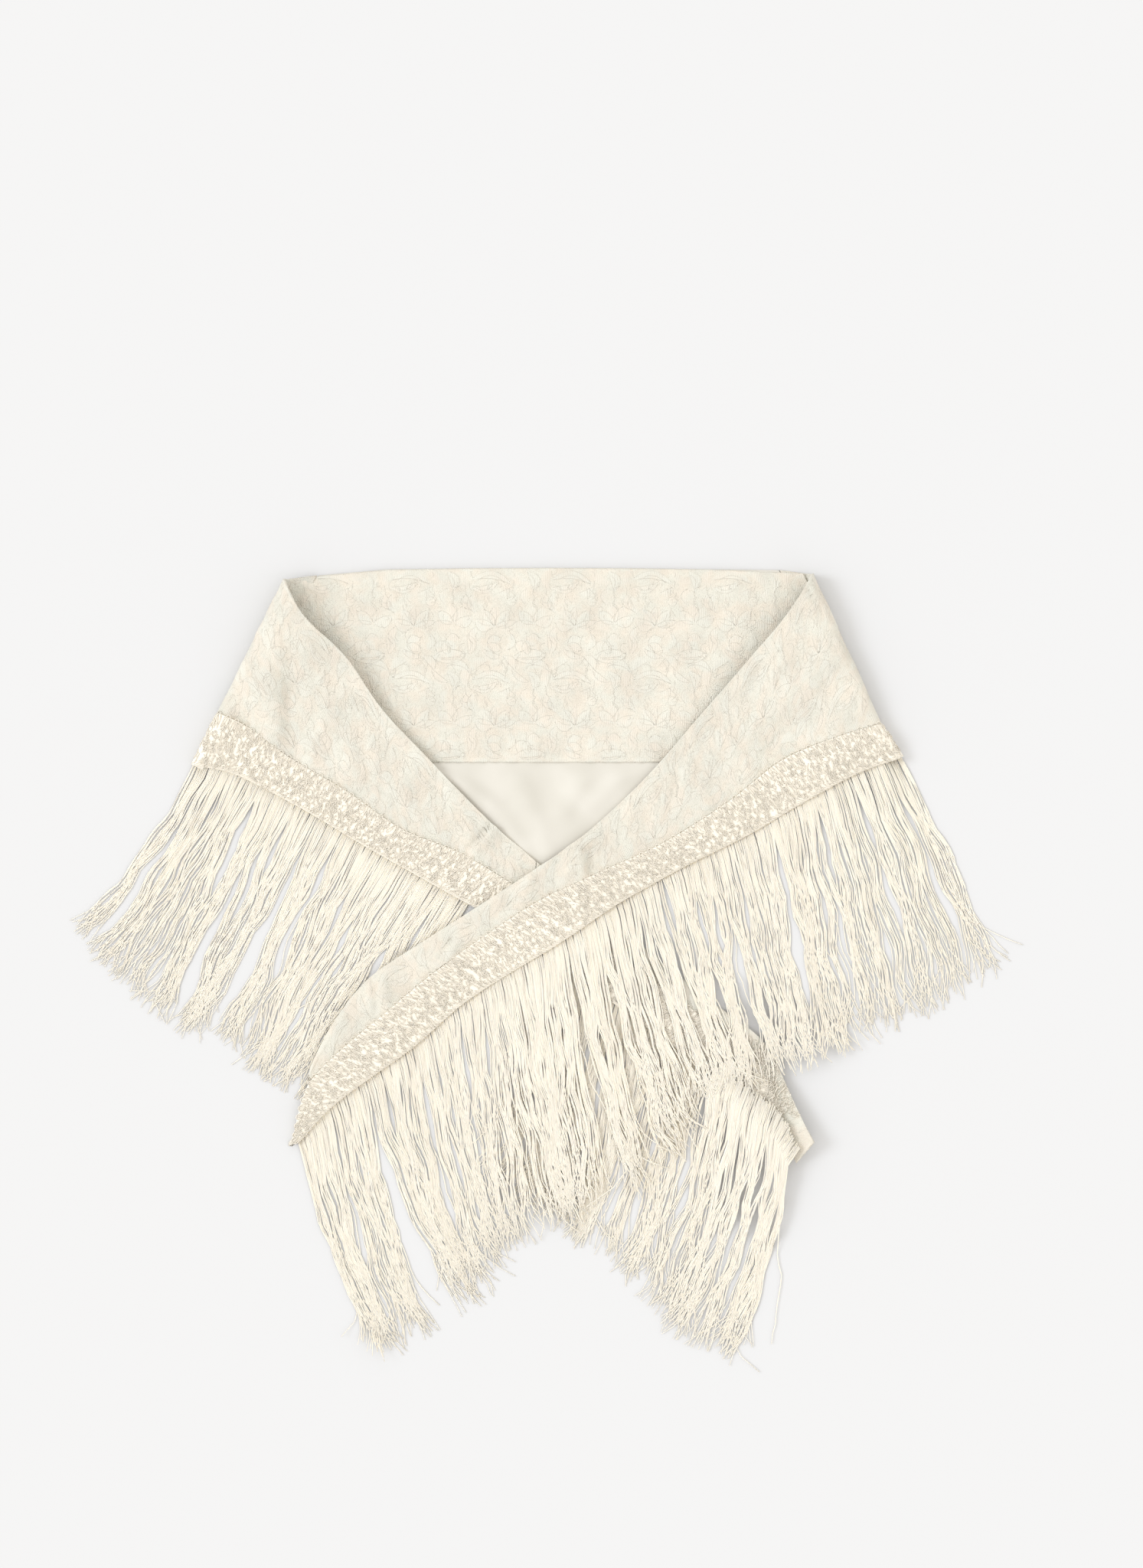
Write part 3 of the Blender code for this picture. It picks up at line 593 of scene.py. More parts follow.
def cloth_rows(sections, end, side, tree, widens=NEVER):
    """All rows of a front's cloth, at its mid thickness.

    From a share of its length on, the cloth widens to the outer edge, past the end of the braid.
    """
    neck, seam, edge = [line_of(sections, part, CLOTH_ROWS, end)
                        for part in ("neck", "seam", "edge")]
    shares = np.linspace(0.0, end, CLOTH_ROWS)[:, None]
    past = eased((shares - widens) / TIP_RAMP) * eased((1.0 - shares) / TIP_RAMP)
    rows = laid_rows(neck, seam * (1 - past) + edge * past, CLOTH_LINES, tree)
    inward, neck_run, seam_run = shoulder(sections, side)
    under = across_strip(neck_run, seam_run, CLOTH_LINES).T
    folded = folded_strip(rows, under, inward, tree, CLOTH_THICK, CLOTH_TUCK,
                          CLOTH_FOLD_REACH, np.zeros(CLOTH_LINES))
    return np.concatenate((folded, rows[1:]))


def braid_rows(sections, end, side, tree):
    """All rows of a front's braid, at its mid thickness and without its knots."""
    seam = line_of(sections, "seam", BRAID_ROWS, end)
    edge = line_of(sections, "edge", BRAID_ROWS, end)
    seam += unit(edge - seam) * BRAID_SHOWN_GAP
    rows = laid_rows(seam, edge, BRAID_LINES, tree)
    heights = rows[1:, :, 2]
    heights[1:-1] = (heights[:-2] + 2 * heights[1:-1] + heights[2:]) / 4
    inward, _, seam_run = shoulder(sections, side)
    under = np.tile(seam_run, (BRAID_LINES, 1))
    folded = folded_strip(rows, under, inward, tree, BRAID_THICK, BRAID_TUCK,
                          BRAID_FOLD_REACH, np.array(BRAID_RELIEF) * MM)
    return np.concatenate((folded, rows[2:]))


def parted(rows, split):
    """The rows before and after a split, with a seam's gap between the two."""
    ahead = unit(rows[split, 0] - rows[split - 1, 0]) * SEAM_GAP
    return rows[:split], np.concatenate((rows[split - 1:split] + ahead, rows[split:]))


class Surface:
    """A fine grid of points at a strip's mid thickness, with a measure along and across it."""

    def __init__(self, rows, across, measured_line):
        middle = rows[:, rows.shape[1] // 2]
        count = int(lengths_along(middle)[-1] / ALONG_STEP)
        shares = np.linspace(0.0, 1.0, count)
        lines = np.stack([smooth_line(rows[:, line], shares, 3)
                          for line in range(rows.shape[1])], axis=1)
        knots = np.arange(rows.shape[1], dtype=float)
        weights = hermite(np.eye(len(knots)), knots, np.linspace(0.0, knots[-1], across))
        self.grid = np.einsum("ml,nlk->nmk", weights, lines)
        normals = unit(np.cross(np.gradient(self.grid, axis=0), np.gradient(self.grid, axis=1)))
        self.normals = normals * np.sign(normals[-1, across // 2, 2])
        self.along = lengths_along(self.grid[:, measured_line])
        steps = np.linalg.norm(np.diff(self.grid, axis=1), axis=2)
        self.width = steps.sum(axis=1)

    def sample(self, values, along, parts):
        """Values of the grid at distances along it and shares across it."""
        row = np.interp(along, self.along, np.arange(len(self.along)))
        return read_grid(values, row, np.clip(parts, 0.0, 1.0) * (values.shape[1] - 1))


def petals():
    """Every leaf and petal of one repeat, the fans' petals among them."""
    shapes = list(LEAVES)
    for fan in FANS:
        for number in range(fan.petals):
            lean = (number / (fan.petals - 1) - 0.5) * fan.spread
            angle = fan.turn + lean
            turn = math.radians(angle)
            shapes.append(Leaf(fan.u + math.cos(turn) * fan.reach * 0.55,
                               fan.v + math.sin(turn) * fan.reach * 0.55,
                               angle, fan.reach, fan.width, lean / fan.spread * 5))
    return shapes


def from_middle(shape, u, v):
    """Places as seen from a shape's middle in the nearest repeat."""
    return ((u - shape.u + TILE_ALONG / 2) % TILE_ALONG - TILE_ALONG / 2,
            (v - shape.v + TILE_ACROSS / 2) % TILE_ACROSS - TILE_ACROSS / 2)


def rib_line(leaf, part):
    """How far a leaf's middle line bends aside at a share of its length."""
    return 4 * leaf.bend * part * (1 - part) - leaf.bend * 0.5


def half_width(leaf, part):
    """Half the width of a leaf, in millimetres, at a share of its length."""
    return leaf.width / 2 * np.sin(math.pi * np.clip(part, 0.0, 1.0)) ** 0.75


def lace_field(u, v):
    """How far the lace is filled, the depth of its ribs and its tone, at places in millimetres."""
    filled = np.zeros(u.shape)
    ribs = np.zeros(u.shape)
    tone = np.zeros(u.shape)
    for number, leaf in enumerate(petals()):
        turn = math.radians(leaf.angle)
        across_u, across_v = from_middle(leaf, u, v)
        part = (across_u * math.cos(turn) + across_v * math.sin(turn)) / leaf.length + 0.5
        away = across_v * math.cos(turn) - across_u * math.sin(turn) - rib_line(leaf, part)
        half = half_width(leaf, part) + 1e-6
        side = away / half * (1 if number % 2 else -1)
        dome = np.clip(1.0 - (away / half) ** 2, 0.0, 1.0) ** 0.5 * (0.72 + 0.28 * side)
        higher = dome > filled
        filled = np.where(higher, dome, filled)
        rib = np.exp(-(away / RIB_WIDTH) ** 2) * (part > RIB_RUN[0]) * (part < RIB_RUN[1])
        ribs = np.where(higher, rib, ribs)
        tone = np.where(higher, math.sin(2.4 * number + 0.7), tone)
    for ring in RINGS:
        filled = np.where(np.hypot(*from_middle(ring, u, v)) < ring.radius, RING_FILL, filled)
    return filled, ribs, tone


def outlines():
    """The lines of cord of one repeat, in millimetres: rows of points."""
    lines = []
    part = np.linspace(0.04, 0.96, CORD_POINTS)
    for number, leaf in enumerate(petals()):
        middle, half = rib_line(leaf, part), half_width(leaf, part)
        side = 1 if number % 2 else -1
        rows = [middle + side * half]
        if number % 3 == 0 or leaf.length > LONG_LEAF:
            rows.append(middle - side * half)
        if leaf.length > RIBBED_LEAF:
            rows.append(middle + 0.2 * half)
        for row, away in enumerate(rows):
            ahead = (part - 0.5) * leaf.length * (0.7 if row == 2 else 1.0)
            lines.append(turned(leaf.u, leaf.v, leaf.angle, ahead, away))
    for ring in RINGS:
        for first in (0.0, math.pi):
            turns = first + part * math.pi
            lines.append(np.column_stack((ring.u + ring.radius * np.cos(turns),
                                          ring.v + ring.radius * np.sin(turns))))
    dice = np.random.default_rng(5)
    for _ in range(SPRIGS):
        ahead = (part - 0.5) * dice.uniform(*SPRIG_LENGTH)
        away = dice.normal(0.0, 1.6) * 4 * part * (1 - part)
        lines.append(turned(dice.uniform(0, TILE_ALONG), dice.uniform(0, TILE_ACROSS),
                            90 + dice.normal(0.0, 30.0), ahead, away))
    return np.array(lines)


def turned(u, v, angle, ahead, away):
    """Points given ahead of and beside a place that looks along an angle."""
    turn = math.radians(angle)
    return np.column_stack((u + ahead * math.cos(turn) - away * math.sin(turn),
                            v + ahead * math.sin(turn) + away * math.cos(turn)))


def creased(x, y, creases):
    """The rise that soft ridges and troughs add at each place."""
    rise = np.zeros(x.shape)
    for crease in creases:
        start = np.array([crease.start_x, crease.start_y]) * MM
        run = np.array([crease.end_x, crease.end_y]) * MM - start
        part = np.clip(((x - start[0]) * run[0] + (y - start[1]) * run[1]) / (run @ run), 0, 1)
        away = np.hypot(x - start[0] - part * run[0], y - start[1] - part * run[1])
        rise += crease.rise * MM * np.exp(-(away / (crease.half_width * MM)) ** 2)
    return rise


def swell(points, seed):
    """A soft unevenness of the cloth at each point, from -1 to 1."""
    flat = points.reshape(-1, 3) / SWELL_SIZE
    values = [noise.noise(Vector((x, y, seed))) + 0.5 * noise.noise(Vector((2 * x, 2 * y, seed)))
              for x, y, _ in flat]
    return np.array(values).reshape(points.shape[:-1])


def add_piece(name, points, faces, material, corner_uv, values):
    """A mesh piece that rides on the shawl, with outward faces, its UV map and its values."""
    mesh = bpy.data.meshes.new(name)
    mesh.from_pydata(points.tolist(), [], faces)
    mesh.materials.append(material)
    layer = mesh.uv_layers.new(name="UVMap")
    layer.uv.foreach_set("vector", np.ascontiguousarray(corner_uv, dtype=np.float32).ravel())
    for label, numbers in values.items():
        attribute = mesh.attributes.new(label, "FLOAT", "POINT")
        attribute.data.foreach_set("value", np.ascontiguousarray(numbers, dtype=np.float32).ravel())
    shape = bmesh.new()
    shape.from_mesh(mesh)
    bmesh.ops.recalc_face_normals(shape, faces=shape.faces)
    shape.to_mesh(mesh)
    shape.free()
    mesh.shade_smooth()
    piece = bpy.data.objects.new(name, mesh)
    bpy.context.scene.collection.objects.link(piece)
    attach(piece, "root")
    return piece


def few_columns(columns, kept):
    """The numbers of a few columns, evenly spread over all of them."""
    return np.linspace(0, columns - 1, kept).astype(int)


def shell(name, top, under, coarse, top_uv, values, material):
    """A closed wall between a fine upper grid and a lower one with the coarse columns only."""
    rows, columns = top.shape[:2]
    lower = under.shape[1]
    upper_ids = np.arange(rows * columns).reshape(rows, columns)
    lower_ids = rows * columns + np.arange(rows * lower).reshape(rows, lower)
    faces = []
    for ids in (upper_ids, lower_ids):
        quads = np.stack((ids[:-1, :-1], ids[1:, :-1], ids[1:, 1:], ids[:-1, 1:]), axis=-1)
        faces += quads.reshape(-1, 4).tolist()
    for column in (0, -1):
        above, below = upper_ids[:, column], lower_ids[:, column]
        faces += np.stack((above[:-1], above[1:], below[1:], below[:-1]), axis=-1).tolist()
    for row in (0, -1):
        faces.append(upper_ids[row].tolist() + lower_ids[row, ::-1].tolist())
    points = np.concatenate((top.reshape(-1, 3), under.reshape(-1, 3)))
    points[:, 2] = np.maximum(points[:, 2], 0.0)
    uv = np.concatenate((top_uv.reshape(-1, 2), top_uv[:, coarse].reshape(-1, 2)))
    corners = np.fromiter((corner for face in faces for corner in face), dtype=int)
    padded = {label: np.concatenate((numbers.ravel(), np.zeros(rows * lower)))
              for label, numbers in values.items()}
    return add_piece(name, points, faces, material, uv[corners], padded)


def lace_front(name, rows, side, start, material, edge_rise=0.0):
    """One stretch of a front: lace on the form of its solid, and its surface.

    Its neck edge stands off the back a little, where it lies low and nothing lies over it.
    """
    surface = Surface(rows, CLOTH_ACROSS, 0)
    parts = np.linspace(0.0, 1.0, CLOTH_ACROSS)
    v = surface.width[:, None] * parts
    low = eased((EDGE_RISE_TOP - surface.grid[..., 2]) / EDGE_RISE_RAMP)
    free = eased((surface.grid[..., 1] - EDGE_RISE_END) / EDGE_RISE_RUN)
    surface.grid[..., 2] += edge_rise * np.exp(-(v / EDGE_RISE_WIDTH) ** 2) * low * free
    u = np.repeat((start + surface.along)[:, None], CLOTH_ACROSS, axis=1) * side
    filled, ribs, tone = lace_field(u / MM, v / MM)
    shown = np.clip(surface.normals[:, :, 2] * 2.0 + 0.4, 0.0, 1.0)
    soft = swell(surface.grid, 3.0 + side) * SWELL_RISE * np.sin(math.pi * parts) ** 0.5
    soft += creased(surface.grid[..., 0], surface.grid[..., 1], FRONT_CREASES)
    soft *= shown
    hem = np.exp(-(v / NECK_HEM_WIDTH) ** 2) * NECK_HEM_RISE
    lift = (filled * FILL_RISE - ribs * RIB_DEPTH + hem) * shown + soft
    top = surface.grid + surface.normals * (CLOTH_THICK / 2 + lift)[:, :, None]
    coarse = few_columns(CLOTH_ACROSS, UNDER_ACROSS)
    under = surface.grid[:, coarse] - surface.normals[:, coarse] * CLOTH_THICK / 2
    piece = shell(name, top, under, coarse, np.stack((u, v), axis=-1),
                  {"filled": filled, "tone": tone}, material)
    surface.top = top
    return piece, surface


def tiled_chart(alongs, acrosses):
    """The lines of cord of several repeats of the lace, in millimetres."""
    chart = outlines()
    return np.concatenate([chart + (along * TILE_ALONG, across * TILE_ACROSS)
                           for across in acrosses for along in alongs])


def cords(name, surface, side, start, material):
    """The raised cords round the motifs of a stretch of lace."""
    low = math.floor(start / MM / TILE_ALONG) - 1
    high = math.ceil((start + surface.along[-1]) / MM / TILE_ALONG) + 1
    deep = math.ceil(surface.width.max() / MM / TILE_ACROSS)
    lines = tiled_chart([side * along for along in range(low, high)], range(-1, deep))
    lines = np.stack((lines[..., 0] * side - start / MM, lines[..., 1]), axis=-1) * MM
    width = np.interp(lines[..., 0], surface.along, surface.width)
    shown = np.interp(lines[..., 0], surface.along, surface.normals[:, CLOTH_ACROSS // 2, 2])
    inside = ((lines[..., 0] > CORD_MARGIN) & (lines[..., 0] < surface.along[-1] - CORD_MARGIN)
              & (lines[..., 1] > 1.5 * CORD_MARGIN) & (lines[..., 1] < width - CORD_MARGIN)
              & (shown > 0.2))
    lines = lines[inside.all(axis=1)]
    width = np.interp(lines[..., 0], surface.along, surface.width)
    points = surface.sample(surface.top, lines[..., 0], lines[..., 1] / width)
    normals = surface.sample(surface.normals, lines[..., 0], lines[..., 1] / width)
    return ribbons(name, points, normals, material)


def ribbons(name, points, normals, material):
    """Thin cords, half sunk in the cloth, along rows of points on it."""
    side = unit(np.cross(np.gradient(points, axis=1), normals))
    taper = np.sin(math.pi * np.linspace(0.08, 0.92, points.shape[1])) ** 0.4
    width = CORD_WIDTH / 2 * taper[:, None]
    rings = np.stack((points - normals * CORD_SINK - side * width,
                      points - normals * CORD_SINK + side * width,
                      points + normals * CORD_RISE * taper[:, None]), axis=2)
    return tube_mesh(name, rings, material, np.zeros(len(points)))


def tube_mesh(name, rings, material, tone):
    """Closed tubes from rings of points: an array by tube, place along it, corner and axis."""
    tubes, places, sides = rings.shape[:3]
    ids = np.arange(tubes * places * sides).reshape(tubes, places, sides)
    after = np.roll(ids, -1, axis=2)
    quads = np.stack((ids[:, :-1], after[:, :-1], after[:, 1:], ids[:, 1:]), axis=-1)
    middle = rings.mean(axis=2)
    steps = np.linalg.norm(np.diff(middle, axis=1), axis=2)
    along = np.concatenate((np.zeros((tubes, 1)), np.cumsum(steps, axis=1)), axis=1)
    corner = np.arange(sides) / sides
    near = np.broadcast_to(corner, (tubes, places - 1, sides))
    far = near + 1 / sides
    before = np.broadcast_to(along[:, :-1, None], near.shape)
    behind = np.broadcast_to(along[:, 1:, None], near.shape)
    uv = np.stack((np.stack((near, far, far, near), axis=-1),
                   np.stack((before, before, behind, behind), axis=-1)), axis=-1)
    faces = quads.reshape(-1, 4).tolist()
    caps = np.concatenate((ids[:, 0], ids[:, -1])).tolist()
    corner_uv = np.concatenate((uv.reshape(-1, 2), np.zeros((len(caps) * sides, 2))))
    tones = np.repeat(tone, places * sides)
    return add_piece(name, rings.reshape(-1, 3), faces + caps, material, corner_uv,
                     {"tone": tones})


def yarn_rings(points, radius, flatness=1.0):
    """Rings of points round yarns that follow rows of points, with one corner on top.

    They are lower than wide by the flatness.
    """
    run = unit(np.gradient(points, axis=1))
    side = unit(np.cross(run, UP))
    over = np.cross(side, run)
    turns = (np.arange(YARN_SIDES) / YARN_SIDES + 0.25) * 2 * math.pi
    thick = np.broadcast_to(radius, points.shape[:2])[:, :, None, None]
    return (points[:, :, None] + side[:, :, None] * np.cos(turns)[:, None] * thick
            + over[:, :, None] * np.sin(turns)[:, None] * thick * flatness)


class Ground:
    """The heights of what lies under a fringe, seen from above and softened."""

    def __init__(self, names):
        tree = solid_tree(*names)
        xs = np.arange(GROUND_LOW[0], GROUND_HIGH[0], GROUND_CELL)
        ys = np.arange(GROUND_LOW[1], GROUND_HIGH[1], GROUND_CELL)
        heights = np.zeros((len(xs), len(ys)))
        for column, x in enumerate(xs):
            for row, y in enumerate(ys):
                hit = tree.ray_cast(Vector((x, y, WELL_ABOVE)), DOWN)[0]
                heights[column, row] = hit.z if hit is not None else 0.0
        raised = heights.copy()
        for across in range(-GROUND_REACH, GROUND_REACH + 1):
            for up in range(-GROUND_REACH, GROUND_REACH + 1):
                raised = np.maximum(raised, np.roll(heights, (across, up), (0, 1)))
        for _ in range(GROUND_FALLS):
            for axis in (0, 1):
                for shift in (-1, 1):
                    lower = np.roll(raised, shift, axis) - GROUND_FALL * GROUND_CELL
                    raised = np.maximum(raised, lower)
        for axis in (0, 1):
            raised = (np.roll(raised, 1, axis) + 2 * raised + np.roll(raised, -1, axis)) / 4
        self.raised = raised[..., None]

    def height(self, x, y):
        """The height at each x and y."""
        column = np.clip((x - GROUND_LOW[0]) / GROUND_CELL, 0, self.raised.shape[0] - 1)
        row = np.clip((y - GROUND_LOW[1]) / GROUND_CELL, 0, self.raised.shape[1] - 1)
        return read_grid(self.raised, column, row)[..., 0]


def eased(values):
    """Values from 0 to 1 with soft ends, held there outside that range."""
    held = np.clip(values, 0.0, 1.0)
    return held * held * (3 - 2 * held)


def bundle_plan(span, length, dice):
    """The middle of each bundle and of the lock it falls into, as shares of the edge."""
    count = int((span[1] - span[0]) * length / BUNDLE_PITCH)
    middles = span[0] + (np.arange(count) + 0.5) / count * (span[1] - span[0])
    locks = []
    while len(locks) < count:
        locks += [len(set(locks))] * int(dice.integers(LOCK_BUNDLES[0], LOCK_BUNDLES[1] + 1))
    locks = np.array(locks[:count])
    centres = np.array([middles[locks == lock].mean() for lock in locks])
    return middles, locks, centres


def opened(at, part, length, gaps):
    """Places along the edge, pushed apart where a gap between two locks lets the floor show."""
    for gap in gaps:
        away = (at[:, :1] - gap.at) * length / MM
        swing = np.clip((part - gap.start) / (gap.end - gap.start), 0.0, 1.0)
        push = gap.width / 2 * np.sin(math.pi * swing) ** 0.7 * np.exp(-(away / gap.reach) ** 2)
        at = at + np.sign(away) * push * MM / length
    return at


def strand_lines(sections, span, flow, outward, ground, edge_height, lift, dice, end_top):
    """The middle lines of all strands of a fringe, and each strand's tone."""
    fine = line_of(sections, "edge", EDGE_PLACES)
    shares = np.linspace(0.0, 1.0, EDGE_PLACES)
    length = lengths_along(fine)[-1]
    middles, locks, centres = bundle_plan(span, length, dice)
    strands = len(middles) * STRANDS_EACH
    bundle = np.repeat(np.arange(len(middles)), STRANDS_EACH)
    lock, lock_count = locks[bundle], locks.max() + 1
    offset = np.tile((np.arange(STRANDS_EACH) + 0.5) / STRANDS_EACH - 0.5, len(middles))
    offset += dice.normal(0.0, ROOT_SCATTER, strands)
    part = np.linspace(0.0, 1.0, STRAND_POINTS) ** POINT_PACE
    pitch = BUNDLE_PITCH / length
    spread = ROOT_SPREAD + (FALLEN_SPREAD - ROOT_SPREAD) * eased(part / SPREAD_RUN)
    pull = dice.uniform(*LOCK_PULL, lock_count)[lock]
    loose = PARTS_AGAIN * eased((part - PARTS_FROM) / (1.0 - PARTS_FROM))
    gather = pull[:, None] * eased(part / PULL_RUN) * (1.0 - loose)
    at = middles[bundle][:, None] + offset[:, None] * pitch * spread
    at += (centres[bundle][:, None] - at) * gather
    at = opened(at, part, length, [gap for gap in GAPS if gap.side == outward])
    root = interpolated(at, shares, fine.T)
    places, *falls = zip(*flow)
    reach_x, reach_y, bow = [np.interp(at, places, fall) * MM for fall in falls]
    turn = dice.normal(0.0, LOCK_TURN, lock_count)[lock]
    turn = turn + dice.normal(0.0, BUNDLE_TURN, len(middles))[bundle]
    turn += dice.normal(0.0, STRAND_TURN, strands)
    stray = dice.random(strands) < STRAY_SHARE
    turn += stray * dice.normal(0.0, STRAY_TURN, strands)
    turn *= np.clip(at[:, 0] / OUTER_END, OUTER_TURN, 1.0)
    turn = np.radians(turn)[:, None] * (0.35 + 0.65 * part)
    longer = 1.0 + dice.normal(0.0, LOCK_LENGTHS, lock_count)[lock]
    longer += dice.normal(0.0, STRAND_LENGTHS, strands)
    longer = np.clip(longer, *LENGTH_LIMITS)
    cos, sin = np.cos(turn), np.sin(turn)
    ahead = np.stack((reach_x * cos - reach_y * sin, reach_x * sin + reach_y * cos), axis=-1)
    size = np.linalg.norm(ahead, axis=-1)[..., None]
    side = np.stack((-ahead[..., 1], ahead[..., 0]), axis=-1) / size
    gone = part * longer[:, None]
    wave = waves(gone, size[:, :1, 0], bundle, dice)
    curl_from = dice.uniform(*CURL_FROM, strands)[:, None]
    curl = dice.normal(0.0, TIP_CURL, strands)
    curl *= np.where(dice.random(strands) < CURLED_SHARE, CURLED_MORE, 1.0)
    away = (4 * bow * gone * (1 - gone) + wave
            + curl[:, None] * np.clip((part - curl_from) / (1 - curl_from), 0.0, 1.0) ** 2)
    flat = root + ahead * gone[..., None] + side * away[..., None]
    run = np.gradient(fine, axis=0)
    normal = unit(np.column_stack((run[:, 1], -run[:, 0])) * outward)
    out = interpolated(at[:, 0], shares, normal.T)
    over = eased((at[:, 0] - ROOTS_OVER) / OVER_RAMP) * (end_top is not None)
    tuck = ROOT_TUCK + over * OVER_INSET * dice.uniform(0.3, 1.0, strands)
    tucked = tuck[:, None] * (1.0 - eased(part / TUCK_RUN))
    flat -= out[:, None] * tucked[..., None]
    under = ground.height(flat[..., 0], flat[..., 1])
    layer = dice.random(strands) ** 1.4 * LAYERS + RIPPLE * np.sin(7.0 * lock)
    layer = np.clip(layer, 0.0, None)
    ripple = RIPPLE * np.sin(gone * dice.uniform(9, 22, strands)[:, None]
                              + dice.uniform(0, 6.3, strands)[:, None])
    height = under + (under > RAISED_OVER) * lift + YARN_RADIUS + 1.5 * YARN_CLEAR
    height += (layer[:, None] + ripple + RIPPLE) * (0.35 + 0.65 * eased(part / 0.25))
    start = np.interp(at[:, 0], shares, edge_height)
    fall = np.exp(-gone * size[:, :1, 0] / ROOT_FALL)
    height += (start[:, None] - height[:, :1]) * fall
    height = np.maximum(height, under * 0.9 + YARN_RADIUS + YARN_CLEAR)
    if end_top is not None:
        laid_on = end_top.height(flat[..., 0], flat[..., 1]) + OVER_RISE + layer[:, None]
        height = np.maximum(height, laid_on * over[:, None])
    tone = dice.normal(0.0, TONES[0], len(middles))[bundle] + dice.normal(0.0, TONES[1], strands)
    kept = (at[:, 0] > CROWDED_END) | (dice.random(strands) < CROWDED_SHARE)
    return np.concatenate((flat, height[..., None]), axis=-1)[kept], tone[kept]


def waves(gone, length, bundle, dice):
    """The sideways waves of yarns: long ones shared by a bundle, short ones of each strand."""
    total = np.zeros(gone.shape)
    bundles = bundle.max() + 1
    for wave in WAVES:
        shared = dice.uniform(0, 2 * math.pi, bundles)[bundle]
        own = dice.normal(0.0, wave.own, len(bundle))
        pace = dice.uniform(0.85, 1.15, bundles)[bundle] + dice.normal(0.0, 0.015, len(bundle))
        height = wave.height * MM * dice.uniform(0.5, 1.5, bundles)[bundle]
        height *= dice.uniform(0.8, 1.2, len(bundle))
        turn = (2 * math.pi * gone * length / (wave.length * MM) * pace[:, None]
                + (shared + own)[:, None])
        total += height[:, None] * (np.sin(turn) - np.sin(turn[:, :1]) * (1 - gone))
    return total * eased(gone / 0.3) * (0.55 + 0.45 * gone)


def kept_under(points, tree):
    """Strand points moved down where they would come through what lies on them."""
    for point in points.reshape(-1, 3):
        hit = tree.ray_cast(Vector((point[0], point[1], JUST_BELOW)), -DOWN)[0]
        if hit is not None:
            point[2] = max(min(point[2], hit.z - YARN_RADIUS - YARN_CLEAR), YARN_RADIUS)
    return points


def fringe(name, plan, ground, edge_height, lift, seed, material, cover=None, end_top=None):
    """The strands of one fringe as one mesh, in part over the top of the left end."""
    sections, span, flow, outward = plan
    dice = np.random.default_rng(seed)
    points, tone = strand_lines(sections, span, flow, outward, ground, edge_height, lift, dice,
                                end_top)
    if cover is not None:
        points = kept_under(points, cover)
    part = np.linspace(0.0, 1.0, STRAND_POINTS)
    thick = YARN_RADIUS * dice.uniform(0.8, 1.15, len(points))[:, None] * (1 - 0.3 * part ** 3)
    raised = ground.height(points[..., 0], points[..., 1]) > RAISED_OVER
    thick = np.where(raised, thick * RAISED_WIDTH, thick)
    return tube_mesh(name, yarn_rings(points, thick, YARN_FLATNESS), material, tone)


def band_lift(along, part):
    """The relief of the braid's band under its loose yarn."""
    beat = 2 * math.pi * along / BUNDLE_PITCH
    heading = -0.25 * np.exp(-(part / 0.05) ** 2)
    knots = np.exp(-((part - 0.58) / 0.24) ** 2) * (0.4 + 0.12 * np.sin(beat + 9 * part))
    chain = np.exp(-((part - 0.94) / 0.04) ** 2) * (0.2 + 0.15 * np.cos(3 * beat))
    return (heading + knots + chain) * MM


def loop_of_yarn(dice):
    """A short curved yarn round a knot's middle, in pitches along and across, and its radius.

    Some are tight loops, and most run across the braid with a bend.
    """
    if dice.random() < LOOP_SHARE:
        sweep = dice.uniform(0.0, 2 * math.pi) + YARN_SHARE * math.radians(dice.uniform(150, 270))
        reach = dice.uniform(0.16, 0.32)
        return (reach * np.cos(sweep) * dice.uniform(0.35, 0.8), reach * np.sin(sweep),
                dice.uniform(0.38, 0.52))
    ahead = (YARN_SHARE - 0.5) * dice.uniform(0.45, 1.0)
    bend = dice.normal(0.0, 0.10) * YARN_BULGE
    bend = bend + dice.normal(0.0, 0.04) * np.sin(2 * math.pi * YARN_SHARE)
    lean = dice.normal(0.0, 0.45)
    return (bend + ahead * math.sin(lean), ahead * math.cos(lean), dice.uniform(0.36, 0.5))


def loops_over(surface, low_y, high_y, dice):
    """Loose loops of yarn worked over a stretch of lace between two heights on the picture."""
    lines, radii = [], []
    for row in range(int(surface.along[-1] / LOOP_SPACING)):
        for column in range(int(surface.width.max() / LOOP_SPACING)):
            along, across, radius = loop_of_yarn(dice)
            middle = (row + dice.uniform(0.0, 1.0)) * LOOP_SPACING
            beside = (column + 0.2 + dice.uniform(0.0, 0.8)) * LOOP_SPACING
            lines.append(np.column_stack((middle + along * BUNDLE_PITCH,
                                          beside + across * BUNDLE_PITCH,
                                          dice.uniform(0.3, 1.2) + 1.2 * YARN_BULGE)))
            radii.append(radius)
    lines = np.array(lines)
    along = np.clip(lines[..., 0], 0.0, surface.along[-1])
    part = lines[..., 1] / np.interp(along, surface.along, surface.width)
    points = surface.sample(surface.top, along, part)
    normals = surface.sample(surface.normals, along, part)
    points = points + normals * lines[..., 2:] * MM
    ragged = low_y + abs(dice.normal(0.0, 5.0, (len(points), 1))) * MM
    kept = ((part > -0.04) & (part < 0.99) & (points[..., 1] > ragged)
            & (points[..., 1] < high_y)).all(axis=1)
    return points[kept], np.array(radii)[kept, None] * MM


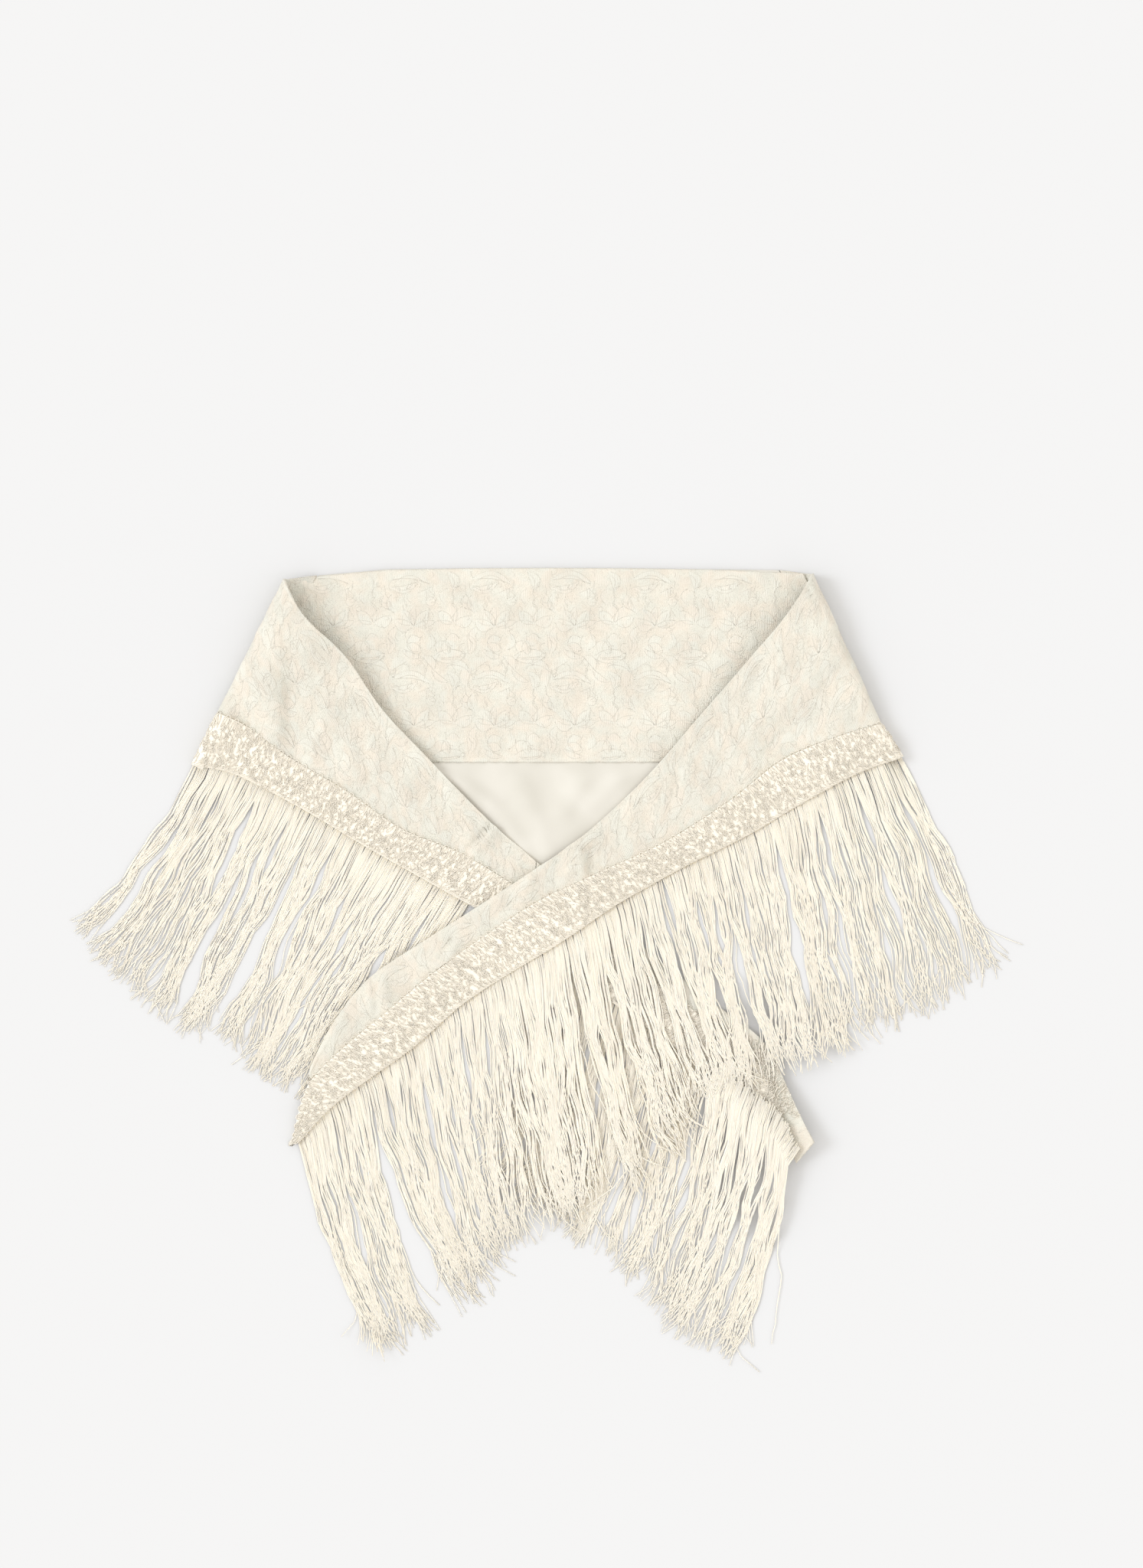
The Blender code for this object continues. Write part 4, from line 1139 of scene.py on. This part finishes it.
def braid_yarns(surface, dice):
    """The middle lines, radii and tones of the yarn that is worked over a braid's band."""
    count = int(surface.along[-1] / BUNDLE_PITCH)
    step = surface.along[-1] / count
    lines, radii = [], []

    def lay(along, part, lift, radius):
        lines.append(np.column_stack((along, part, lift)))
        radii.append(radius)

    for number in range(count):
        first = number * step
        reach = OVER_SEAM * dice.uniform(0.7, 1.3)
        lay(first + step * (0.14 + 0.72 * YARN_SHARE), 0.10 - (0.10 + reach) * YARN_BULGE ** 0.6,
            0.2 + 0.6 * YARN_BULGE, SCALLOP_RADIUS)
        for thread in range(HEADING_THREADS):
            middle = first + step * (thread + 0.5 + dice.normal(0.0, 0.12)) / HEADING_THREADS
            lean = dice.normal(0.0, 0.1) * step
            lay(middle + lean * (YARN_SHARE - 0.5) * 2,
                0.02 + dice.uniform(0.16, 0.26) * YARN_SHARE,
                0.2 + 0.4 * YARN_BULGE, HEADING_RADIUS)
        for row in KNOT_ROWS:
            for loop in range(row.loops):
                middle = first + step * (row.shift + dice.uniform(0.0, 1.0))
                along, across, radius = loop_of_yarn(dice)
                lay(middle + along * step,
                    row.part + dice.normal(0.0, 0.045) + across * step / BRAID_WIDTH,
                    dice.uniform(0.1, 0.5) + 0.45 * YARN_BULGE, radius)
        for loop in range(EDGE_LOOPS):
            middle = first + step * (loop + 0.5) / EDGE_LOOPS
            lay(middle + step * 0.22 * (YARN_SHARE - 0.5) * 2, 1.0 - 0.09 * YARN_SHARE,
                0.1 + 0.5 * YARN_BULGE, HEADING_RADIUS)
    lines = np.array(lines)
    along = np.clip(lines[..., 0], 0.0, surface.along[-1])
    points = surface.sample(surface.grid, along, lines[..., 1])
    near_seam = surface.sample(surface.grid, along, np.full(along.shape, OVER_SEAM))
    at_seam = surface.sample(surface.grid, along, np.zeros(along.shape))
    past_seam = np.minimum(lines[..., 1], 0.0)[..., None] / OVER_SEAM
    points = points + (near_seam - at_seam) * past_seam
    normals = surface.sample(surface.normals, along, lines[..., 1])
    relief = band_lift(along, lines[..., 1])[..., None] + lines[..., 2:] * MM
    points = points + normals * (BRAID_THICK / 2 + relief)
    shown = normals[..., 2].min(axis=1) > 0.05
    points[..., 2] = np.maximum(points[..., 2], 1.0 * MM)
    return points[shown], np.array(radii)[shown, None] * MM


def braid(name, rows, seed, band_material, yarn_material, cloth=None):
    """A braid: a band on the form of its solid, and the yarn worked over it and over the tip."""
    surface = Surface(rows, BRAID_ACROSS, BRAID_LINES // 2)
    parts = np.linspace(0.0, 1.0, BRAID_ACROSS)
    along = np.repeat(surface.along[:, None], BRAID_ACROSS, axis=1)
    part = np.repeat(parts[None], len(along), axis=0)
    shown = np.clip(surface.normals[:, :, 2] * 2.0, 0.0, 1.0)
    lift = band_lift(along, part) * shown
    top = surface.grid + surface.normals * (BRAID_THICK / 2 + lift)[:, :, None]
    coarse = few_columns(BRAID_ACROSS, BRAID_UNDER)
    under = surface.grid[:, coarse] - surface.normals[:, coarse] * BRAID_THICK / 2
    uv = np.stack((along, surface.width[:, None] * part), axis=-1)
    band = shell(name + "_band", top, under, coarse, uv, {}, band_material)
    points, radii = braid_yarns(surface, np.random.default_rng(seed))
    dice = np.random.default_rng(seed + 1)
    if cloth is not None:
        more_points, more_radii = loops_over(cloth, LOOPS_LOW_Y, LOOPS_HIGH_Y, dice)
        points = np.concatenate((points, more_points))
        radii = np.concatenate((radii, more_radii))
    yarn = tube_mesh(name + "_knots", yarn_rings(points, radii), yarn_material,
                     dice.normal(0.0, 0.6, len(points)))
    return band, yarn, surface


def tuck_line(sections, side, further):
    """Where the back ends at a shoulder, or a further distance on over the tucked front."""
    inward, neck_run, seam_run = shoulder(sections, side)
    first = sections[0]
    ends = []
    for x, y, run in ((first.neck_x, first.neck_y, neck_run),
                      (first.seam_x, first.seam_y, seam_run)):
        depth = CLOTH_TUCK + SEAM_GAP - further
        point = np.array([x, y, 0.0]) * MM + run / (run @ inward) * depth
        ends.append(point[:2])
    return ends


def back_rows(columns, further):
    """Places across the back, and its neck edge and lower edge there.

    The back runs on over the tucked fronts by a further distance at each shoulder.
    """
    left_neck, left_seam = tuck_line(LEFT_SECTIONS, 1, further)
    right_neck, right_seam = tuck_line(RIGHT_SECTIONS, -1, further)
    neck = [left_neck, *(np.array(BACK_NECK) * MM), right_neck]
    upper = np.array([left_seam, *neck, right_seam])
    lower = np.array([left_seam, *(np.array(BACK_LOW_POINTS) * MM), right_seam])
    xs = np.linspace(left_seam[0] + 1.0 * MM, right_seam[0] - 1.0 * MM, columns)
    top = np.interp(xs, upper[:, 0], upper[:, 1])
    bottom = np.interp(xs, lower[:, 0], lower[:, 1])
    return xs, top, bottom


def roll_rise(x, y):
    """How far the lace of the back rises over a tucked front and into its roll."""
    rise = np.zeros(x.shape)
    for sections, side in ((LEFT_SECTIONS, 1), (RIGHT_SECTIONS, -1)):
        first = sections[0]
        inward = shoulder(sections, side)[0]
        depth = (x - first.neck_x * MM) * inward[0] + (y - first.neck_y * MM) * inward[1]
        on_tuck = TUCK_RISE * eased((CLOTH_TUCK + TUCK_RAMP - depth) / TUCK_RAMP)
        down = np.clip((first.neck_y * MM - y) / ((first.neck_y - first.seam_y) * MM), 0.0, 1.0)
        radius = ROLL_RADIUS[0] + (ROLL_RADIUS[1] - ROLL_RADIUS[0]) * down
        into = np.clip(radius + CLOTH_THICK - depth, 0.0, radius * 0.8)
        rise = np.maximum(rise, on_tuck + radius - np.sqrt(radius ** 2 - into ** 2))
    return rise


def back_lining(material):
    """The smooth lining of the back, softly rumpled where it shows under the lace's edge."""
    xs, top, bottom = back_rows(LINING_COLUMNS, 0.0)
    ys = across_strip(top, bottom, LINING_ACROSS)
    x = np.repeat(xs[:, None], LINING_ACROSS, axis=1)
    shown = eased((FACING_LOW_Y - FOLDS_START - ys) / FOLDS_RUN)
    rise = np.maximum(creased(x, ys, LINING_FOLDS), LINING_DEEPEST) * shown
    rise += (LINING_LIFT * eased((FACING_LOW_Y - ys) / LIFT_RUN)
             * eased((ys - LIFT_END) / LIFT_END_RUN))
    points = np.stack((x, ys, LINING_TOP + rise), axis=-1)
    sides = [0, -1]
    under = points[:, sides] * (1, 1, 0)
    return shell("back_lining_cloth", points, under, sides, points[..., :2], {}, material)


def back_lace(lace, cord):
    """The lace on the inside of the back, from the neck edge down to its straight edge."""
    xs, top, bottom = back_rows(FACING_COLUMNS, FACING_FURTHER)
    bottom = np.maximum(bottom, FACING_LOW_Y)
    top = np.where(top > 0.1, top - FACING_INSET, top)
    shares = np.linspace(0.0, 1.0, FACING_ACROSS)
    ys = across_strip(top, bottom, FACING_ACROSS)
    x = np.repeat(xs[:, None], FACING_ACROSS, axis=1)
    middle = (FACING_TOP + FACING_BOTTOM) / 2 + roll_rise(x, ys)
    grid = np.stack((x, ys, middle), axis=-1)
    v = BACK_TOP_Y - ys
    filled, ribs, tone = lace_field(x / MM, v / MM)
    soft = swell(grid, 9.0) * BACK_SWELL_RISE * np.sin(math.pi * shares) ** 0.5
    hem = -HEM_THIN * np.exp(-((ys - bottom[:, None]) / HEM_RUN) ** 2)
    top_points = grid + UP * ((FACING_TOP - FACING_BOTTOM) / 2
                              + filled * FILL_RISE - ribs * RIB_DEPTH + soft + hem)[..., None]
    coarse = few_columns(FACING_ACROSS, UNDER_ACROSS)
    under = grid[:, coarse] - UP * (FACING_TOP - FACING_BOTTOM) / 2
    piece = shell("back_lace", top_points, under, coarse, np.stack((x, v), axis=-1),
                  {"filled": filled, "tone": tone}, lace)
    return piece, flat_cords(top_points, v, cord)


def flat_cords(top, v, material):
    """The raised cords on the flat lace of the back."""
    lines = tiled_chart(range(-5, 5), range(-1, 3)) * MM
    xs = top[:, 0, 0]
    left = np.interp(lines[..., 0], xs, np.arange(len(xs)))
    first = np.interp(lines[..., 0], xs, v[:, 0])
    last = np.interp(lines[..., 0], xs, v[:, -1])
    part = (lines[..., 1] - first) / (last - first)
    inside = ((lines[..., 0] > xs[0] + 2 * CORD_MARGIN)
              & (lines[..., 0] < xs[-1] - 2 * CORD_MARGIN)
              & (part > 0.01) & (part < 0.99)).all(axis=1)
    left, part, lines = left[inside], part[inside], lines[inside]
    height = read_grid(top, left, part * (top.shape[1] - 1))[..., 2]
    points = np.stack((lines[..., 0], BACK_TOP_Y - lines[..., 1], height), axis=-1)
    return ribbons("back_lace_cords", points, np.broadcast_to(UP, points.shape), material)


def add_node(material, kind, inputs=(), **settings):
    """A new node with its settings, and its inputs set to values or linked to outputs."""
    tree = material.node_tree
    node = tree.nodes.new(kind)
    for label, value in settings.items():
        setattr(node, label, value)
    for label, value in dict(inputs).items():
        if isinstance(value, bpy.types.NodeSocket):
            tree.links.new(value, node.inputs[label])
        else:
            node.inputs[label].default_value = value
    return node


def new_material(name, roughness, sheen):
    """A material with a matte shader of its own, and that shader."""
    material = bpy.data.materials.new(name)
    material.use_nodes = True
    shader = material.node_tree.nodes["Principled BSDF"]
    shader.inputs["Roughness"].default_value = roughness
    shader.inputs["Sheen Weight"].default_value = sheen
    shader.inputs["Sheen Roughness"].default_value = 0.5
    shader.inputs["Specular IOR Level"].default_value = 0.3
    return material, shader


def finish(material, shader, colour, height, depth):
    """Link a material's colour, and its bump of a depth in metres, to its shader."""
    bump = add_node(material, "ShaderNodeBump", {"Height": height, "Distance": depth,
                                                 "Strength": 1.0})
    material.node_tree.links.new(colour, shader.inputs["Base Color"])
    material.node_tree.links.new(bump.outputs["Normal"], shader.inputs["Normal"])


def millimetres(material):
    """The place on a piece's UV map, in millimetres."""
    place = add_node(material, "ShaderNodeUVMap", uv_map="UVMap")
    spot = add_node(material, "ShaderNodeMapping",
                    {"Vector": place.outputs["UV"], "Scale": (1000.0, 1000.0, 1000.0)})
    return spot.outputs["Vector"]


def carried(material, label):
    """A value that the vertices of a piece carry."""
    return add_node(material, "ShaderNodeAttribute", attribute_name=label).outputs["Fac"]


def clouds(material, spot, size, detail):
    """Soft noise of a size in millimetres."""
    return add_node(material, "ShaderNodeTexNoise",
                    {"Vector": spot, "Scale": 1 / size, "Detail": detail}).outputs["Fac"]


def mapped(material, value, low, high, to_low=0.0, to_high=1.0):
    """A value between low and high, brought to another range and held in it."""
    return add_node(material, "ShaderNodeMapRange",
                    {"Value": value, "From Min": low, "From Max": high,
                     "To Min": to_low, "To Max": to_high}).outputs["Result"]


def mixed(material, share, first, second, **settings):
    """Two colours, mixed by the share of the second."""
    return add_node(material, "ShaderNodeMix", {0: share, 6: first, 7: second},
                    data_type="RGBA", **settings).outputs[2]


def reckoned(material, operation, *values, **settings):
    """What an operation makes of some values."""
    return add_node(material, "ShaderNodeMath", dict(enumerate(values)),
                    operation=operation, **settings).outputs[0]


def cotton_lace():
    """Cotton lace over a lining: worked flowers, a finer net between them, soft and matt, with
    faint painted shade of soft rumples in its colour.
    """
    material, shader = new_material("cotton_lace_on_lining", 0.85, 0.12)
    spot = millimetres(material)
    net = add_node(material, "ShaderNodeTexVoronoi", {"Vector": spot, "Scale": 1 / 1.7},
                   feature="DISTANCE_TO_EDGE")
    bent = add_node(material, "ShaderNodeTexWave",
                    {"Vector": spot, "Scale": 0.19, "Distortion": 9.0, "Detail": 2.0,
                     "Detail Scale": 0.35})
    worked = mapped(material, carried(material, "filled"), 0.0, 0.8)
    base = mixed(material, worked, linear(IVORY_NET), linear(IVORY_FLOWER))
    mottle = reckoned(material, "MULTIPLY_ADD", carried(material, "tone"), 0.10,
                      clouds(material, spot, 16.0, 2.0))
    tint = mixed(material, mapped(material, mottle, 0.36, 0.62),
                 linear(IVORY_WARM), linear(IVORY_COOL))
    # Painted shade of soft rumples: broad clouds darken and lighten the colour a little.
    painted_rumple_shade = mapped(material, clouds(material, spot, 30.0, 1.5), 0.32, 0.66, 0.955, 1.045)
    colour = mixed(material, 1.0, mixed(material, LACE_TINT, base, tint), painted_rumple_shade,
                   blend_type="MULTIPLY")
    holes = mapped(material, net.outputs["Distance"], 0.05, 0.35, 1.0, 0.0)
    thread = add_node(material, "ShaderNodeMix", {0: worked, 2: holes, 3: bent.outputs["Fac"]})
    height = reckoned(material, "ADD", thread.outputs[0], clouds(material, spot, 1.6, 3.0))
    finish(material, shader, colour, height, LACE_BUMP)
    return material


def smooth_lining():
    """Smooth woven lining: a fine even weave with a faint gloss, and soft clouds of painted shade
    in its colour.
    """
    material, shader = new_material("smooth_woven_lining", 0.6, 0.05)
    spot = millimetres(material)
    # Soft clouds of painted shade: the colour runs between the shaded and the unshaded tone.
    unshaded_share = mapped(material, clouds(material, spot, 42.0, 1.0), 0.30, 0.58)
    colour = mixed(material, unshaded_share, linear(IVORY_LINING_PAINTED_SHADE), linear(IVORY_LINING_UNSHADED))
    finish(material, shader, colour, clouds(material, spot, 0.5, 2.0), LINING_BUMP)
    return material


def yarn(name, light, deep, ply, twist_depth, roughness, sheen, scatter):
    """Twisted yarn of two plies. The twist runs round it, as a bump and as a faint painted shade
    between the plies, and each strand has its own tone.
    """
    material, shader = new_material(name, roughness, sheen)
    shader.inputs["Subsurface Weight"].default_value = scatter
    shader.inputs["Subsurface Radius"].default_value = (1.0, 0.85, 0.65)
    shader.inputs["Subsurface Scale"].default_value = 1.2 * MM
    place = add_node(material, "ShaderNodeUVMap", uv_map="UVMap")
    parts = add_node(material, "ShaderNodeSeparateXYZ", {"Vector": place.outputs["UV"]})
    round_it = reckoned(material, "MULTIPLY", parts.outputs["X"], 4 * math.pi)
    along = reckoned(material, "MULTIPLY_ADD", parts.outputs["Y"], 2 * math.pi / ply, round_it)
    twist = reckoned(material, "SINE", along)
    share = mapped(material, carried(material, "tone"), -1.6, 1.6)
    # Each strand's own tone, with a faint painted shade along the twist, between the deep and the
    # light colour.
    tone_and_ply_shade = reckoned(material, "MULTIPLY_ADD", twist, 0.05, share, use_clamp=True)
    finish(material, shader, mixed(material, tone_and_ply_shade, linear(deep), linear(light)), twist,
           twist_depth)
    return material


def crochet_band(light, deep):
    """The band behind the knots, a close crochet in the same yarn, lighter in the middle of each
    loop, with painted shade darker between its loops.
    """
    material, shader = new_material("close_crochet", 0.85, 0.1)
    loops = add_node(material, "ShaderNodeTexVoronoi",
                     {"Vector": millimetres(material), "Scale": 1 / 2.2}, feature="F1")
    # Painted shade: the colour darkens from the middle of each loop towards the gaps between loops.
    away = loops.outputs["Distance"]
    finish(material, shader, mixed(material, away, linear(light), linear(deep)),
           reckoned(material, "SUBTRACT", 1.0, away), BAND_BUMP)
    return material


def plain_floor():
    """A plain pale floor, larger than the view."""
    bpy.ops.mesh.primitive_plane_add(size=FLOOR_SIZE, location=(0, 0, -0.1 * MM))
    floor = bpy.context.object
    floor.name = "floor"
    material = bpy.data.materials.new("pale_floor")
    material.use_nodes = True
    shader = material.node_tree.nodes["Principled BSDF"]
    shader.inputs["Base Color"].default_value = linear(FLOOR_WHITE)
    shader.inputs["Roughness"].default_value = 1.0
    shader.inputs["Specular IOR Level"].default_value = 0.0
    floor.data.materials.append(material)


def soft_light():
    """A soft key light from the left, and an even light from all round."""
    bpy.ops.object.light_add(type="SUN", rotation=(0, 0, 0))
    sun = bpy.context.object
    direction = Vector((math.cos(math.radians(SUN_HEIGHT)), SUN_DOWN,
                        -math.sin(math.radians(SUN_HEIGHT))))
    sun.rotation_euler = direction.to_track_quat("-Z", "Y").to_euler()
    sun.data.energy = SUN_STRENGTH
    sun.data.color = SUN_COLOUR
    sun.data.angle = math.radians(SUN_SPREAD)
    world = bpy.data.worlds.new("even_light")
    world.use_nodes = True
    background = world.node_tree.nodes["Background"]
    background.inputs["Color"].default_value = SKY_COLOUR
    background.inputs["Strength"].default_value = SKY_STRENGTH
    bpy.context.scene.world = world
    bpy.context.scene.view_settings.view_transform = "Standard"


def camera_above():
    """A camera straight above, at the photograph's place."""
    bpy.ops.object.camera_add(location=CAMERA_PLACE, rotation=(0, 0, 0))
    camera = bpy.context.object
    camera.data.lens = 85.0
    camera.data.sensor_width = 36.0
    bpy.context.scene.camera = camera


def edge_heights(surface, first, last):
    """The height of the braid's outer edge at even shares of the whole edge."""
    shares = np.linspace(0.0, 1.0, EDGE_PLACES)
    own = np.linspace(first, last, len(surface.along))
    return np.interp(shares, own, surface.grid[:, -1, 2])


def build():
    """Make every piece of the shawl."""
    lace = cotton_lace()
    cord = yarn("gimp_cord", IVORY_CORD, IVORY_FLOWER, 1.2 * MM, 0.08 * MM, 0.7, 0.1, 0.0)
    band = crochet_band(IVORY_BAND, IVORY_BAND_PAINTED_SHADE)
    knots = yarn("soft_braid_yarn", IVORY_BRAID, IVORY_BRAID_DEEP, 1.4 * MM, 0.06 * MM, 0.6,
                 0.15, 0.0)
    fringe_yarn = yarn("twisted_viscose_yarn", IVORY_YARN, IVORY_YARN_DEEP, 0.9 * MM,
                       0.01 * MM, 0.65, 0.6, 0.35)

    lining = back_lining(smooth_lining())
    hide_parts("back_lining")
    back, back_cords = back_lace(lace, cord)
    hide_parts("back_lace_facing")

    left_tree = solid_tree("left_front", "left_front_end")
    rows = cloth_rows(LEFT_SECTIONS, LEFT_CLOTH_END, 1, left_tree, TIP_START)
    front_rows, end_rows = parted(rows, LEFT_CLOTH_SPLIT)
    left, left_surface = lace_front("left_front_lace", front_rows, -1, NECK_START, lace,
                                    EDGE_RISE)
    left_cords = cords("left_front_cords", left_surface, -1, NECK_START, cord)
    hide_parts("left_front")
    end_start = NECK_START + left_surface.along[-1]
    left_end, end_surface = lace_front("left_end_lace", end_rows, -1, end_start, lace)
    end_cords = cords("left_end_cords", end_surface, -1, end_start, cord)
    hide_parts("left_front_end")
    right_tree = solid_tree("right_front")
    rows = cloth_rows(RIGHT_SECTIONS, RIGHT_CLOTH_END, -1, right_tree)
    right, right_surface = lace_front("right_front_lace", rows, 1, NECK_START, lace)
    right_cords = cords("right_front_cords", right_surface, 1, NECK_START, cord)
    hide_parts("right_front")

    rows = braid_rows(LEFT_SECTIONS, LEFT_BRAID_END, 1, solid_tree("left_braid", "left_end_braid"))
    front_rows, end_rows = parted(rows, LEFT_BRAID_SPLIT)
    left_band, left_knots, left_line = braid("left_braid", front_rows, 11, band, knots)
    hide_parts("left_braid")
    end_band, end_knots, end_line = braid("left_end_braid", end_rows, 12, band, knots,
                                            end_surface)
    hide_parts("left_end_braid")
    rows = braid_rows(RIGHT_SECTIONS, RIGHT_BRAID_END, -1, solid_tree("right_braid"))
    right_band, right_knots, right_line = braid("right_braid", rows, 13, band, knots)
    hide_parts("right_braid")

    back_names = ("back_lining", "back_lace_facing")
    left_names = ("left_front", "left_front_end", "left_braid", "left_end_braid",
                  "left_fringe", "left_end_fringe")
    low_ground = Ground(back_names)
    high_ground = Ground(back_names + left_names)
    cover = solid_tree("right_front", "right_braid")
    left_fringe = fringe("left_fringe_strands",
                         (LEFT_SECTIONS, LEFT_FRINGE_SPAN, LEFT_FLOW, 1), low_ground,
                         edge_heights(left_line, 0.0, CROSSING), 0.0, 21, fringe_yarn, cover)
    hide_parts("left_fringe")
    end_fringe = fringe("left_end_fringe_strands",
                        (LEFT_SECTIONS, LEFT_END_FRINGE_SPAN, LEFT_END_FLOW, 1), low_ground,
                        edge_heights(end_line, CROSSING, LEFT_BRAID_END), 0.0, 22, fringe_yarn,
                        cover, Ground(("left_front_end", "left_end_braid")))
    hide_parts("left_end_fringe")
    right_fringe = fringe("right_fringe_strands",
                          (RIGHT_SECTIONS, RIGHT_FRINGE_SPAN, RIGHT_FLOW, -1), high_ground,
                          edge_heights(right_line, 0.0, 1.0), RIGHT_LIFT, 23, fringe_yarn)
    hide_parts("right_fringe")


build()
plain_floor()
soft_light()
camera_above()
